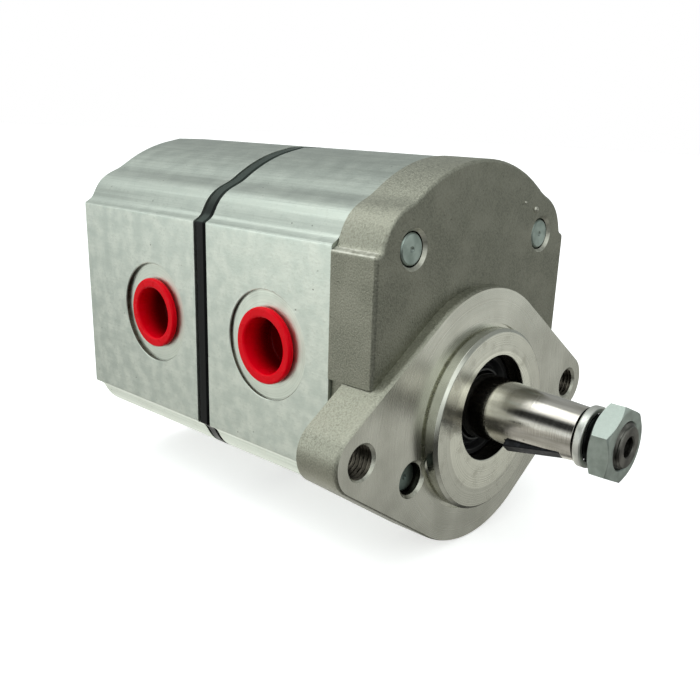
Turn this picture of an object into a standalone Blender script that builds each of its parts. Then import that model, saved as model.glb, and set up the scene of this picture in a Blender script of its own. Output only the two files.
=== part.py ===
"""Hydraulic gear pump with two sections on one tapered shaft, taken apart into its separate pieces.

Metres, +Z up. The origin is the centre of the pilot spigot on the mounting face. The shaft points to -Y
and the sections follow each other along +Y. Outlets are on the -X side and inlets on the +X side.
"""

import math

import bmesh
import bpy
from mathutils import Matrix, Vector

# Mounting flange and front cover
SPIGOT_DIAMETER = 0.050
SPIGOT_HEIGHT = 0.0041
SPIGOT_CHAMFER = 0.0008
SPIGOT_RELIEF_WIDTH = 0.0009
SPIGOT_RELIEF_DEPTH = 0.0006
FLANGE_THICKNESS = 0.013
FLANGE_RADIUS = 0.0356
FLANGE_EAR_RADIUS = 0.0085
FLANGE_EDGE_RADIUS = 0.0012
MOUNT_HOLE_SPACING = 0.0954
MOUNT_HOLE_DIAMETER = 0.0085
HOLE_CHAMFER = 0.0006
COVER_SETBACK = 0.0035
COVER_DEPTH = 0.0178
COVER_OUTSET = 0.0004
COVER_EDGE_RADIUS = 0.0008
COVER_SIDE_RELIEF = 0.0010

# Section shared by the bodies, the plate and the covers
BODY_WIDTH = 0.082
BODY_HEIGHT = 0.097
CROWN_RADIUS = 0.047
BOLT_EAR_RADIUS = 0.0095
EAR_BLEND = 0.0010
SHOULDER_RISE = 0.0004

# Lengths of the sections along the shaft
FRONT_BODY_LENGTH = 0.0471
PLATE_THICKNESS = 0.005
PLATE_CHAMFER = 0.0011
REAR_BODY_LENGTH = 0.041
REAR_COVER_THICKNESS = 0.0138
REAR_COVER_CHAMFER = 0.0005

# Through bolts, washers and dowels
BOLT_SPACING = 0.057
BOLT_DIAMETER = 0.008
BOLT_HOLE_PLAY = 0.0005
UPPER_BOLT_RECESS = 0.0005
LOWER_BOLT_RECESS = 0.0025
BOLT_END_CHAMFER = 0.0010
BOLT_DIMPLE_RADIUS = 0.0012
BOLT_DIMPLE_DEPTH = 0.0006
BOLT_HEAD_DIAMETER = 0.013
BOLT_HEAD_HEIGHT = 0.005
BOLT_HEAD_RECESS = 0.0003
BOLT_HEAD_CHAMFER = 0.0005
BOLT_SOCKET_FLATS = 0.005
BOLT_SOCKET_DEPTH = 0.0028
WASHER_DIAMETER = 0.014
WASHER_THICKNESS = 0.0016
COUNTERBORE_PLAY = 0.0005
DOWEL_DIAMETER = 0.005
DOWEL_DEPTH = 0.006
DOWEL_SIDE_OFFSET = 0.008
DOWEL_HEIGHT_OFFSET = 0.014
HEX_CHAMFER_ANGLE = math.radians(30)

# Gears, bearing blocks and bushes
DRIVE_AXIS_RISE = 0.0035
CENTRE_DISTANCE = 0.030
TOOTH_COUNT = 12
PRESSURE_ANGLE = math.radians(20)
TOOTH_ADDENDUM = 0.0024
ROOT_CLEARANCE = 0.0005
BACKLASH = 0.0005
JOURNAL_DIAMETER = 0.020
BUSH_WALL = 0.0023
BLOCK_LENGTH = 0.014

# Drive shaft, key, washer and nut
SHAFT_LAND_DIAMETER = 0.018
TAPER_START = 0.0015
TAPER_LENGTH = 0.0325
TAPER_RATIO = 8
THREAD_DIAMETER = 0.012
THREAD_LENGTH = 0.0118
THREAD_CHAMFER = 0.0006
CENTRE_HOLE_DIAMETER = 0.0048
CENTRE_HOLE_DEPTH = 0.0042
KEY_WIDTH = 0.004
KEY_HEIGHT = 0.0065
KEY_DISC_DIAMETER = 0.0155
KEY_PROUD = 0.0006
KEY_DISTANCE = 0.0213
KEY_ANGLE = math.radians(-128)
KEY_TILT = math.radians(6.2)
SPRING_WASHER_DIAMETER = 0.0158
SPRING_WASHER_THICKNESS = 0.0022
SPRING_WASHER_RISE = 0.0008
SPRING_WASHER_SLIT = math.radians(14)
NUT_FLATS = 0.0177
NUT_THICKNESS = 0.0054
NUT_ANGLE = math.radians(36.6)
NUT_TO_END = 0.0010

# Shaft seal and the bore that holds it
SEAL_BORE_DIAMETER = 0.029
SEAL_BORE_DEPTH = 0.0075
SEAL_RECESS = 0.0048
SEAL_WIDTH = 0.0065
SEAL_WALL = 0.0017
SEAL_FLOOR = 0.0018
SEAL_LIP = 0.0008

# Coupling between the sections
TONGUE_WIDTH = 0.006
TONGUE_LENGTH = 0.0036

# Rubber seals round the chambers and on the bearing blocks
BODY_SEAL_OFFSET = 0.0034
BODY_SEAL_WIDTH = 0.0022
BODY_SEAL_DEPTH = 0.0018
BLOCK_SEAL_WIDTH = 0.0016
BLOCK_SEAL_DEPTH = 0.0016
BLOCK_SEAL_OPENING = math.radians(80)
BLOCK_SEAL_PINCH = math.radians(50)

# Ports and plugs, outlets first and inlets second
PORT_SHIFT = -0.0006
PORT_DEPTH = 0.0150
FRONT_SPOT_DEPTH = 0.0008
REAR_SPOT_DEPTH = 0.0012
OUTLET_SPOT_DIAMETER = 0.0292
OUTLET_BORE_DIAMETER = 0.0186
INLET_SPOT_DIAMETER = 0.0350
INLET_BORE_DIAMETER = 0.0241
PASSAGE_INSET = 0.0008
PLUG_RIM_OVERLAP = 0.0009
PLUG_RIM_THICKNESS = 0.0017
PLUG_RIM_ROUND = 0.0004
PLUG_WALL = 0.0015
PLUG_LENGTH = 0.0095
PLUG_DRAFT = 0.0003

# Clearances
JOINT_GAP = 0.00015
FIT_GAP = 0.0003
RUNNING_GAP = 0.0004
CUT_MARGIN = 0.001

# Facets
EAR_STEPS = 6
EAR_END = math.radians(58)
CROWN_STEPS = 4
FLANGE_STEPS = 10
CHAMBER_STEPS = 15
RING_STEPS = 6
EDGE_STEPS = 3
SPIGOT_FACETS = 40
ROUND_FACETS = 20
HIDDEN_FACETS = 14
SMALL_FACETS = 10
DOWEL_FACETS = 8
FLANK_STEPS = 2
MERGE_DISTANCE = 0.000001
FLAT_ANGLE = math.radians(0.05)
SMOOTH_ANGLE = math.radians(32)

# Places that follow from the sizes above
HALF_WIDTH = BODY_WIDTH / 2
DRIVE_Z = DRIVE_AXIS_RISE
DRIVEN_Z = DRIVE_AXIS_RISE + CENTRE_DISTANCE
MID_Z = DRIVE_AXIS_RISE + CENTRE_DISTANCE / 2
FRONT_BODY_START = COVER_DEPTH + JOINT_GAP
FRONT_BODY_END = FRONT_BODY_START + FRONT_BODY_LENGTH
PLATE_START = FRONT_BODY_END + JOINT_GAP
PLATE_END = PLATE_START + PLATE_THICKNESS
REAR_BODY_START = PLATE_END + JOINT_GAP
REAR_BODY_END = REAR_BODY_START + REAR_BODY_LENGTH
REAR_COVER_START = REAR_BODY_END + JOINT_GAP
REAR_FACE = REAR_COVER_START + REAR_COVER_THICKNESS
BOLT_HEAD_END = REAR_FACE - BOLT_HEAD_RECESS
BOLT_SEAT = BOLT_HEAD_END - BOLT_HEAD_HEIGHT
WASHER_START = BOLT_SEAT - FIT_GAP - WASHER_THICKNESS
BOLT_PLACES = [
    (side * BOLT_SPACING / 2, MID_Z + level * BOLT_SPACING / 2) for level in (1, -1) for side in (-1, 1)
]
DOWEL_PLACES = [
    (side * (HALF_WIDTH - DOWEL_SIDE_OFFSET), MID_Z + side * DOWEL_HEIGHT_OFFSET) for side in (-1, 1)
]
PITCH_RADIUS = CENTRE_DISTANCE / 2
TIP_RADIUS = PITCH_RADIUS + TOOTH_ADDENDUM
ROOT_RADIUS = PITCH_RADIUS - TOOTH_ADDENDUM - ROOT_CLEARANCE
CHAMBER_RADIUS = TIP_RADIUS + RUNNING_GAP
BLOCK_RADIUS = CHAMBER_RADIUS - FIT_GAP
JOURNAL_RADIUS = JOURNAL_DIAMETER / 2
BUSH_BORE_RADIUS = JOURNAL_RADIUS + RUNNING_GAP
BUSH_RADIUS = BUSH_BORE_RADIUS + BUSH_WALL
LAND_RADIUS = SHAFT_LAND_DIAMETER / 2
TAPER_END = TAPER_START - TAPER_LENGTH
SHAFT_END = TAPER_END - THREAD_LENGTH
THREAD_RADIUS = THREAD_DIAMETER / 2
DRIVE_SHAFT_REAR = FRONT_BODY_END - FIT_GAP
REAR_GEAR_FRONT = REAR_BODY_START + FIT_GAP

# Colour, roughness and metallic value of each finish
FINISHES = {
    "cast_aluminium": ((0.27, 0.27, 0.24), 0.62, 0.75),
    "extruded_aluminium": ((0.52, 0.54, 0.50), 0.45, 0.85),
    "black_plate": ((0.012, 0.013, 0.013), 0.40, 0.20),
    "ground_steel": ((0.55, 0.54, 0.52), 0.22, 1.00),
    "gear_steel": ((0.42, 0.42, 0.42), 0.32, 1.00),
    "bearing_alloy": ((0.60, 0.61, 0.62), 0.42, 0.90),
    "bush_bronze": ((0.45, 0.33, 0.20), 0.40, 0.90),
    "black_rubber": ((0.010, 0.010, 0.011), 0.58, 0.00),
    "zinc_steel": ((0.55, 0.58, 0.57), 0.34, 0.95),
    "black_steel": ((0.018, 0.019, 0.022), 0.42, 0.60),
    "red_plastic": ((0.72, 0.004, 0.008), 0.28, 0.00),
}


def clear_scene():
    """Removes whatever the open file holds."""
    for old in list(bpy.data.objects):
        bpy.data.objects.remove(old, do_unlink=True)


def material(name, finish):
    """A Principled material of one sub-part."""
    colour, roughness, metallic = FINISHES[finish]
    made = bpy.data.materials.new(name)
    made.use_nodes = True
    shader = made.node_tree.nodes["Principled BSDF"]
    shader.inputs["Base Color"].default_value = (*colour, 1.0)
    shader.inputs["Roughness"].default_value = roughness
    shader.inputs["Metallic"].default_value = metallic
    made.diffuse_color = (*colour, 1.0)
    return made


def empty(name, location, parent=None):
    """An axis or frame that pieces hang on."""
    made = bpy.data.objects.new(name, None)
    made.location = location
    made.parent = parent
    bpy.context.scene.collection.objects.link(made)
    return made


def finished_mesh(name, bm, finish):
    """Turns a bmesh into a smooth-shaded mesh with its material."""
    mesh = bpy.data.meshes.new(name)
    bm.to_mesh(mesh)
    bm.free()
    mesh.materials.append(material(name, finish))
    mesh.shade_smooth()
    mesh.set_sharp_from_angle(angle=SMOOTH_ANGLE)
    return mesh


def place(name, mesh, parent, location=(0, 0, 0)):
    """Adds one named piece to the scene."""
    made = bpy.data.objects.new(name, mesh)
    made.parent = parent
    made.location = location
    bpy.context.scene.collection.objects.link(made)
    return made


def add_piece(name, bm, finish, parent, location=(0, 0, 0)):
    """Makes a piece that has a mesh of its own."""
    return place(name, finished_mesh(name, bm, finish), parent, location)


def arc(centre, radius, start, end, steps):
    """Points (x, z) along an arc, both ends included."""
    turn = (end - start) / steps
    return [
        (centre[0] + radius * math.cos(start + turn * k), centre[1] + radius * math.sin(start + turn * k))
        for k in range(steps + 1)
    ]


def circle(radius, facets, centre=(0, 0)):
    """Points (x, z) round a circle."""
    return arc(centre, radius, 0, 2 * math.pi, facets)[:-1]


def hexagon(across_flats, angle):
    """Corners (x, z) of a hexagon with its first corner at the angle."""
    corner_radius = across_flats / math.sqrt(3)
    return arc((0, 0), corner_radius, angle, angle + 2 * math.pi, 6)[:-1]


def ray_through_disc(angle, centre, radius):
    """How far a ray from the middle of the section runs before it leaves a disc, or 0 if it misses."""
    along = centre[0] * math.cos(angle) + centre[1] * math.sin(angle)
    aside = centre[1] * math.cos(angle) - centre[0] * math.sin(angle)
    if abs(aside) > radius:
        return 0.0
    return along + math.sqrt(radius * radius - aside * aside)


def section_outline(inset=0.0):
    """The outer section: flat sides, an ear round each bolt and a crown above and below."""
    half_width = HALF_WIDTH - inset
    shoulder = BOLT_SPACING / 2 + SHOULDER_RISE - inset
    crown_centre = (0, BODY_HEIGHT / 2 - CROWN_RADIUS)
    ear_centre = (BOLT_SPACING / 2, BOLT_SPACING / 2)
    corner = math.atan2(shoulder, half_width)
    angles = [corner + (EAR_END - corner) * step / EAR_STEPS for step in range(1, EAR_STEPS + 1)]
    angles += [EAR_END + (math.pi / 2 - EAR_END) * step / CROWN_STEPS for step in range(1, CROWN_STEPS + 1)]
    quarter = [(half_width, shoulder)]
    for angle in angles:
        crown = ray_through_disc(angle, crown_centre, CROWN_RADIUS - inset)
        ear = ray_through_disc(angle, ear_centre, BOLT_EAR_RADIUS - inset)
        higher = max(crown, ear)
        reach = higher + EAR_BLEND * math.log1p(math.exp(-abs(crown - ear) / EAR_BLEND))
        quarter.append((reach * math.cos(angle), reach * math.sin(angle)))
    upper = quarter + [(-x, z) for x, z in reversed(quarter[:-1])]
    lower = [(-x, -z) for x, z in upper]
    return [(x, MID_Z + z) for x, z in upper + lower]


def flange_outline(inset=0.0):
    """The rhombus flange: a round middle and two ears, joined by their tangents."""
    half_spacing = MOUNT_HOLE_SPACING / 2
    tangent = math.acos((FLANGE_RADIUS - FLANGE_EAR_RADIUS) / half_spacing)
    ear_radius = FLANGE_EAR_RADIUS - inset
    radius = FLANGE_RADIUS - inset
    right_ear = arc((half_spacing, 0), ear_radius, -tangent, tangent, FLANGE_STEPS)
    top = arc((0, 0), radius, tangent, math.pi - tangent, FLANGE_STEPS)
    left_ear = [(-x, -z) for x, z in right_ear]
    bottom = [(-x, -z) for x, z in top]
    return right_ear + top + left_ear + bottom


def flange_shoulder():
    """Height at which the flange's upper edge meets the cover's side."""
    tangent = math.acos((FLANGE_RADIUS - FLANGE_EAR_RADIUS) / (MOUNT_HOLE_SPACING / 2))
    return (FLANGE_RADIUS - HALF_WIDTH * math.cos(tangent)) / math.sin(tangent)


def figure_eight(radius):
    """Two round chambers that run into each other."""
    waist = math.asin(min(1.0, PITCH_RADIUS / radius))
    upper = arc((0, DRIVEN_Z), radius, -waist, math.pi + waist, CHAMBER_STEPS)
    lower = arc((0, DRIVE_Z), radius, math.pi - waist, 2 * math.pi + waist, CHAMBER_STEPS)
    return upper[:-1] + lower[:-1]


def racetrack(radius):
    """A ring line round both chambers, with straight sides."""
    upper = arc((0, DRIVEN_Z), radius, 0, math.pi, RING_STEPS)
    lower = arc((0, DRIVE_Z), radius, math.pi, 2 * math.pi, RING_STEPS)
    return upper + lower


def gear_outline(phase):
    """Involute teeth about (0, 0), thinned for backlash, with a tooth centred on the phase angle."""
    base_radius = PITCH_RADIUS * math.cos(PRESSURE_ANGLE)
    involute = math.tan(PRESSURE_ANGLE) - PRESSURE_ANGLE
    half_tooth = math.pi / (2 * TOOTH_COUNT) - BACKLASH / (4 * PITCH_RADIUS)
    foot = max(base_radius, ROOT_RADIUS)
    flank = [(ROOT_RADIUS, half_tooth + involute)]
    for step in range(FLANK_STEPS + 1):
        radius = foot + (TIP_RADIUS - foot) * step / FLANK_STEPS
        pressure = math.acos(base_radius / radius)
        flank.append((radius, half_tooth + involute - (math.tan(pressure) - pressure)))
    points = []
    for tooth in range(TOOTH_COUNT):
        middle = phase + 2 * math.pi * tooth / TOOTH_COUNT
        polar = [(radius, middle - half) for radius, half in flank]
        polar += [(radius, middle + half) for radius, half in reversed(flank)]
        points += [(radius * math.cos(angle), radius * math.sin(angle)) for radius, angle in polar]
    return points


def prism(outline, start, end, holes=()):
    """An outline with holes, extruded along Y."""
    bm = bmesh.new()
    for loop in (outline, *holes):
        verts = [bm.verts.new((x, start, z)) for x, z in loop]
        for index, vert in enumerate(verts):
            bm.edges.new((vert, verts[index - 1]))
    bmesh.ops.triangle_fill(bm, use_beauty=True, edges=bm.edges[:], normal=(0, -1, 0))
    extruded = bmesh.ops.extrude_face_region(bm, geom=bm.faces[:])
    moved = [item for item in extruded["geom"] if isinstance(item, bmesh.types.BMVert)]
    bmesh.ops.translate(bm, verts=moved, vec=(0, end - start, 0))
    bmesh.ops.recalc_face_normals(bm, faces=bm.faces[:])
    return bm


def loft(sections):
    """Skins a row of (y, outline) sections that have as many points each, and caps both ends."""
    bm = bmesh.new()
    rings = [[bm.verts.new((x, y, z)) for x, z in outline] for y, outline in sections]
    for ring, following in zip(rings, rings[1:]):
        for index in range(len(ring)):
            bm.faces.new((ring[index - 1], ring[index], following[index], following[index - 1]))
    bm.faces.new(rings[0])
    bm.faces.new(rings[-1])
    bmesh.ops.recalc_face_normals(bm, faces=bm.faces[:])
    return bm


def turned(profile, facets, ring=False):
    """Spins (y, radius) points about Y. A ring's profile is closed, and any other ends on the axis."""
    bm = bmesh.new()
    verts = [bm.verts.new((radius, y, 0)) for y, radius in profile]
    edges = [bm.edges.new(pair) for pair in zip(verts, verts[1:])]
    if ring:
        edges.append(bm.edges.new((verts[-1], verts[0])))
    bmesh.ops.spin(
        bm,
        geom=verts + edges,
        cent=(0, 0, 0),
        axis=(0, 1, 0),
        angle=2 * math.pi,
        steps=facets,
        use_merge=True,
    )
    bmesh.ops.remove_doubles(bm, verts=bm.verts[:], dist=MERGE_DISTANCE)
    bmesh.ops.recalc_face_normals(bm, faces=bm.faces[:])
    return bm


def rod(start, end, radius, facets):
    """A plain cylinder along Y."""
    return turned([(start, 0), (start, radius), (end, radius), (end, 0)], facets)


def tube(start, end, inner, outer, facets):
    """A plain ring along Y."""
    return turned([(start, outer), (end, outer), (end, inner), (start, inner)], facets, ring=True)


def block(low, high):
    """A box between two corners."""
    bm = bmesh.new()
    size = Vector(high) - Vector(low)
    middle = (Vector(high) + Vector(low)) / 2
    bmesh.ops.create_cube(bm, size=1.0, matrix=Matrix.Translation(middle) @ Matrix.Diagonal((*size, 1.0)))
    return bm


def moved(bm, matrix):
    """The same shape, carried by a matrix."""
    bmesh.ops.transform(bm, matrix=matrix, verts=bm.verts[:])
    return bm


def shifted(bm, x, z, y=0.0):
    """The same shape, moved sideways and up."""
    return moved(bm, Matrix.Translation((x, y, z)))


def working_object(bm):
    """A helper that only lives while a Boolean runs."""
    mesh = bpy.data.meshes.new("helper")
    bm.to_mesh(mesh)
    bm.free()
    made = bpy.data.objects.new("helper", mesh)
    made.hide_render = True
    made.display_type = "WIRE"
    bpy.context.scene.collection.objects.link(made)
    return made


def combined(bm, tools, operation):
    """Applies the tools to a shape one after another and returns the result."""
    target = working_object(bm)
    helpers = [working_object(tool) for tool in tools]
    for helper in helpers:
        modifier = target.modifiers.new("combine", "BOOLEAN")
        modifier.operation = operation
        modifier.solver = "EXACT"
        modifier.object = helper
    evaluated = target.evaluated_get(bpy.context.evaluated_depsgraph_get())
    result = bmesh.new()
    result.from_mesh(evaluated.data)
    for helper in [target, *helpers]:
        bpy.data.objects.remove(helper, do_unlink=True)
    bmesh.ops.remove_doubles(result, verts=result.verts[:], dist=MERGE_DISTANCE)
    bmesh.ops.dissolve_limit(result, angle_limit=FLAT_ANGLE, verts=result.verts[:], edges=result.edges[:])
    return result


def cut(bm, tools):
    """Takes the tools out of a shape."""
    return combined(bm, tools, "DIFFERENCE")


def fused(bm, tools):
    """Joins the tools to a shape."""
    return combined(bm, tools, "UNION")


def chamfered_hole(face, end, radius):
    """A tool for a hole along +Y with a countersunk mouth at the face."""
    mouth = radius + HOLE_CHAMFER
    profile = [
        (face - CUT_MARGIN, 0),
        (face - CUT_MARGIN, mouth + CUT_MARGIN),
        (face + HOLE_CHAMFER, radius),
        (end, radius),
        (end, 0),
    ]
    return turned(profile, SMALL_FACETS)


def bolt_end_face(z):
    """The face that a bolt's end shows in: the cover's for the upper bolts, the flange's for the lower."""
    return COVER_SETBACK if z > MID_Z else 0.0


def bolt_hole_loops():
    """Clearance holes for the four through bolts."""
    return [circle(BOLT_DIAMETER / 2 + BOLT_HOLE_PLAY, SMALL_FACETS, centre) for centre in BOLT_PLACES]


def dowel_tools(start, end):
    """Tools for the two dowel holes of a joint."""
    radius = DOWEL_DIAMETER / 2 + FIT_GAP
    return [shifted(rod(start, end, radius, DOWEL_FACETS), x, z) for x, z in DOWEL_PLACES]


def cover_casting():
    """The cast block of the front cover, a little proud of the bodies, with relieved lower sides."""
    sections = []
    for step in range(EDGE_STEPS + 1):
        angle = math.pi / 2 * step / EDGE_STEPS
        depth = COVER_EDGE_RADIUS * (1 - math.cos(angle))
        rounding = COVER_EDGE_RADIUS * (1 - math.sin(angle))
        sections.append((COVER_SETBACK + depth, section_outline(rounding - COVER_OUTSET)))
    sections.append((COVER_DEPTH, section_outline(-COVER_OUTSET)))
    relief_x = HALF_WIDTH - COVER_SIDE_RELIEF
    outside_x = HALF_WIDTH + CUT_MARGIN
    low_z = MID_Z - BODY_HEIGHT / 2
    reliefs = []
    for side in (-1, 1):
        inner, outer = sorted((side * relief_x, side * outside_x))
        low = (inner, COVER_SETBACK - CUT_MARGIN, low_z)
        high = (outer, COVER_DEPTH + CUT_MARGIN, flange_shoulder())
        reliefs.append(block(low, high))
    return cut(loft(sections), reliefs)


def flange_casting():
    """The rhombus flange with its front edge rounded."""
    sections = []
    for step in range(EDGE_STEPS):
        angle = math.pi / 2 * step / (EDGE_STEPS - 1)
        depth = FLANGE_EDGE_RADIUS * (1 - math.cos(angle))
        sections.append((depth, flange_outline(FLANGE_EDGE_RADIUS * (1 - math.sin(angle)))))
    return loft(sections + [(FLANGE_THICKNESS, flange_outline())])


def front_cover():
    """Flange, spigot and cast cover in one, with the seal bore, tapped holes and dowel holes."""
    radius = SPIGOT_DIAMETER / 2
    spigot = turned(
        [
            (FLANGE_THICKNESS / 2, 0),
            (FLANGE_THICKNESS / 2, radius),
            (SPIGOT_CHAMFER - SPIGOT_HEIGHT, radius),
            (-SPIGOT_HEIGHT, radius - SPIGOT_CHAMFER),
            (-SPIGOT_HEIGHT, 0),
        ],
        SPIGOT_FACETS,
    )
    relief_radius = radius + SPIGOT_RELIEF_WIDTH
    relief = tube(-CUT_MARGIN, SPIGOT_RELIEF_DEPTH, radius - CUT_MARGIN, relief_radius, SPIGOT_FACETS)
    flange = cut(flange_casting(), [relief])
    seal_bore = turned(
        [
            (-SPIGOT_HEIGHT - CUT_MARGIN, 0),
            (-SPIGOT_HEIGHT - CUT_MARGIN, SEAL_BORE_DIAMETER / 2 + HOLE_CHAMFER / 2 + CUT_MARGIN),
            (-SPIGOT_HEIGHT + HOLE_CHAMFER / 2, SEAL_BORE_DIAMETER / 2),
            (SEAL_BORE_DEPTH, SEAL_BORE_DIAMETER / 2),
            (SEAL_BORE_DEPTH, JOURNAL_RADIUS + RUNNING_GAP),
            (COVER_DEPTH + CUT_MARGIN, JOURNAL_RADIUS + RUNNING_GAP),
            (COVER_DEPTH + CUT_MARGIN, 0),
        ],
        ROUND_FACETS,
    )
    tools = [shifted(seal_bore, 0, DRIVE_Z)]
    for x, z in BOLT_PLACES:
        hole = chamfered_hole(bolt_end_face(z), COVER_DEPTH + CUT_MARGIN, BOLT_DIAMETER / 2 + FIT_GAP)
        tools.append(shifted(hole, x, z))
    for side in (-1, 1):
        hole = chamfered_hole(0.0, FLANGE_THICKNESS + CUT_MARGIN, MOUNT_HOLE_DIAMETER / 2)
        tools.append(shifted(hole, side * MOUNT_HOLE_SPACING / 2, 0))
    tools += dowel_tools(COVER_DEPTH - DOWEL_DEPTH - FIT_GAP, COVER_DEPTH + CUT_MARGIN)
    return cut(fused(cover_casting(), [flange, spigot]), tools)


def to_side(bm, side, port_y):
    """Carries a shape turned about Y to a port, with +Y pointing out of that side."""
    turn = Matrix.Rotation(-side * math.pi / 2, 4, "Z")
    return moved(bm, Matrix.Translation((side * HALF_WIDTH, port_y, MID_Z)) @ turn)


def gear_span(body_start, body_length):
    """Front and rear face of the gears of one section."""
    start = body_start + BLOCK_LENGTH + RUNNING_GAP
    end = body_start + body_length - BLOCK_LENGTH - RUNNING_GAP
    return start, end


def port_tool(spot_diameter, bore_diameter, spot_depth, passage_radius):
    """A tool for one port: spot face, threaded bore and a passage into the chamber."""
    waist = math.sqrt(CHAMBER_RADIUS**2 - PITCH_RADIUS**2)
    inner = waist / 2 - HALF_WIDTH
    return turned(
        [
            (CUT_MARGIN, 0),
            (CUT_MARGIN, spot_diameter / 2),
            (-spot_depth, spot_diameter / 2),
            (-spot_depth, bore_diameter / 2),
            (-PORT_DEPTH, bore_diameter / 2),
            (-PORT_DEPTH - bore_diameter / 2 + passage_radius, passage_radius),
            (inner, passage_radius),
            (inner, 0),
        ],
        ROUND_FACETS,
    )


def body_seal_ring(start, end, play):
    """The rubber ring round both chambers, or with some play the tool for its groove."""
    radius = CHAMBER_RADIUS + BODY_SEAL_OFFSET
    outer = racetrack(radius + BODY_SEAL_WIDTH / 2 + play)
    inner = racetrack(radius - BODY_SEAL_WIDTH / 2 - play)
    return prism(outer, start, end, holes=[inner])


def pump_body(start, length, spot_depth):
    """One extruded body: chambers, bolt holes, two ports, seal grooves and dowel holes."""
    end = start + length
    bm = prism(section_outline(), start, end, holes=[figure_eight(CHAMBER_RADIUS), *bolt_hole_loops()])
    port_y = (start + end) / 2 + PORT_SHIFT
    gear_start, gear_end = gear_span(start, length)
    passage = min(port_y - gear_start, gear_end - port_y) - PASSAGE_INSET
    outlet_passage = min(passage, OUTLET_BORE_DIAMETER / 2 - PASSAGE_INSET)
    inlet_passage = min(passage, INLET_BORE_DIAMETER / 2 - PASSAGE_INSET)
    outlet = port_tool(OUTLET_SPOT_DIAMETER, OUTLET_BORE_DIAMETER, spot_depth, outlet_passage)
    inlet = port_tool(INLET_SPOT_DIAMETER, INLET_BORE_DIAMETER, spot_depth, inlet_passage)
    tools = [
        to_side(outlet, -1, port_y),
        to_side(inlet, 1, port_y),
        body_seal_ring(start - CUT_MARGIN, start + BODY_SEAL_DEPTH, FIT_GAP),
        body_seal_ring(end - BODY_SEAL_DEPTH, end + CUT_MARGIN, FIT_GAP),
    ]
    tools += dowel_tools(start - CUT_MARGIN, start + DOWEL_DEPTH + FIT_GAP)
    tools += dowel_tools(end - DOWEL_DEPTH - FIT_GAP, end + CUT_MARGIN)
    return cut(bm, tools)


def intermediate_plate():
    """The chamfered plate between the sections, with the coupling's bore."""
    sections = [
        (PLATE_START, section_outline(PLATE_CHAMFER)),
        (PLATE_START + PLATE_CHAMFER, section_outline()),
        (PLATE_END - PLATE_CHAMFER, section_outline()),
        (PLATE_END, section_outline(PLATE_CHAMFER)),
    ]
    start, end = PLATE_START - CUT_MARGIN, PLATE_END + CUT_MARGIN
    tools = [shifted(rod(start, end, JOURNAL_RADIUS + RUNNING_GAP, ROUND_FACETS), 0, DRIVE_Z)]
    for x, z in BOLT_PLACES:
        tools.append(shifted(rod(start, end, BOLT_DIAMETER / 2 + BOLT_HOLE_PLAY, SMALL_FACETS), x, z))
    return cut(loft(sections), tools + dowel_tools(start, end))


def rear_cover():
    """The end cover, with its rear edge broken and a counterbore for each bolt's head and washer."""
    sections = [
        (REAR_COVER_START, section_outline()),
        (REAR_FACE - REAR_COVER_CHAMFER, section_outline()),
        (REAR_FACE, section_outline(REAR_COVER_CHAMFER)),
    ]
    start, end = REAR_COVER_START - CUT_MARGIN, REAR_FACE + CUT_MARGIN
    tools = dowel_tools(start, REAR_COVER_START + DOWEL_DEPTH + FIT_GAP)
    hole = BOLT_DIAMETER / 2 + BOLT_HOLE_PLAY
    counterbore = WASHER_DIAMETER / 2 + COUNTERBORE_PLAY
    floor = WASHER_START - FIT_GAP
    profile = [(start, 0), (start, hole), (floor, hole), (floor, counterbore), (end, counterbore), (end, 0)]
    tools += [shifted(turned(profile, SMALL_FACETS), x, z) for x, z in BOLT_PLACES]
    return cut(loft(sections), tools)


def taper_radius(y):
    """Radius of the shaft's taper at a place along it."""
    return LAND_RADIUS - (TAPER_START - y) / (2 * TAPER_RATIO)


def key_frame():
    """Where the key lies: X along the shaft to its thread, Z outward, the origin on the key's flat top."""
    outward = Vector((math.cos(KEY_ANGLE), 0, math.sin(KEY_ANGLE)))
    along = Vector((0, -1, 0))
    across = outward.cross(along)
    axes = Matrix((along, across, outward)).transposed().to_4x4()
    key_y = TAPER_START - KEY_DISTANCE
    origin = Vector((0, key_y, 0)) + outward * (taper_radius(key_y) + KEY_PROUD)
    taper_slope = math.atan(1 / (2 * TAPER_RATIO))
    return Matrix.Translation(origin) @ axes @ Matrix.Rotation(taper_slope + KEY_TILT, 4, "Y")


def woodruff_key():
    """A slice of a disc with a flat top."""
    radius = KEY_DISC_DIAMETER / 2
    rise = radius - KEY_HEIGHT
    dip = math.asin(rise / radius)
    outline = arc((0, rise), radius, math.pi + dip, 2 * math.pi - dip, SMALL_FACETS)
    return moved(prism(outline, -KEY_WIDTH / 2, KEY_WIDTH / 2), key_frame())


def keyseat_tool():
    """The disc that mills the keyseat."""
    radius = KEY_DISC_DIAMETER / 2
    half = KEY_WIDTH / 2 + FIT_GAP
    disc = circle(radius + FIT_GAP, 2 * SMALL_FACETS, (0, radius - KEY_HEIGHT))
    return moved(prism(disc, -half, half), key_frame())


def slot_tool(start, end, upright):
    """A tool for a coupling slot right across a journal's end."""
    half = TONGUE_WIDTH / 2
    reach = JOURNAL_RADIUS + CUT_MARGIN
    across, up = (half, reach) if upright else (reach, half)
    return block((-across, start, -up), (across, end, up))


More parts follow.
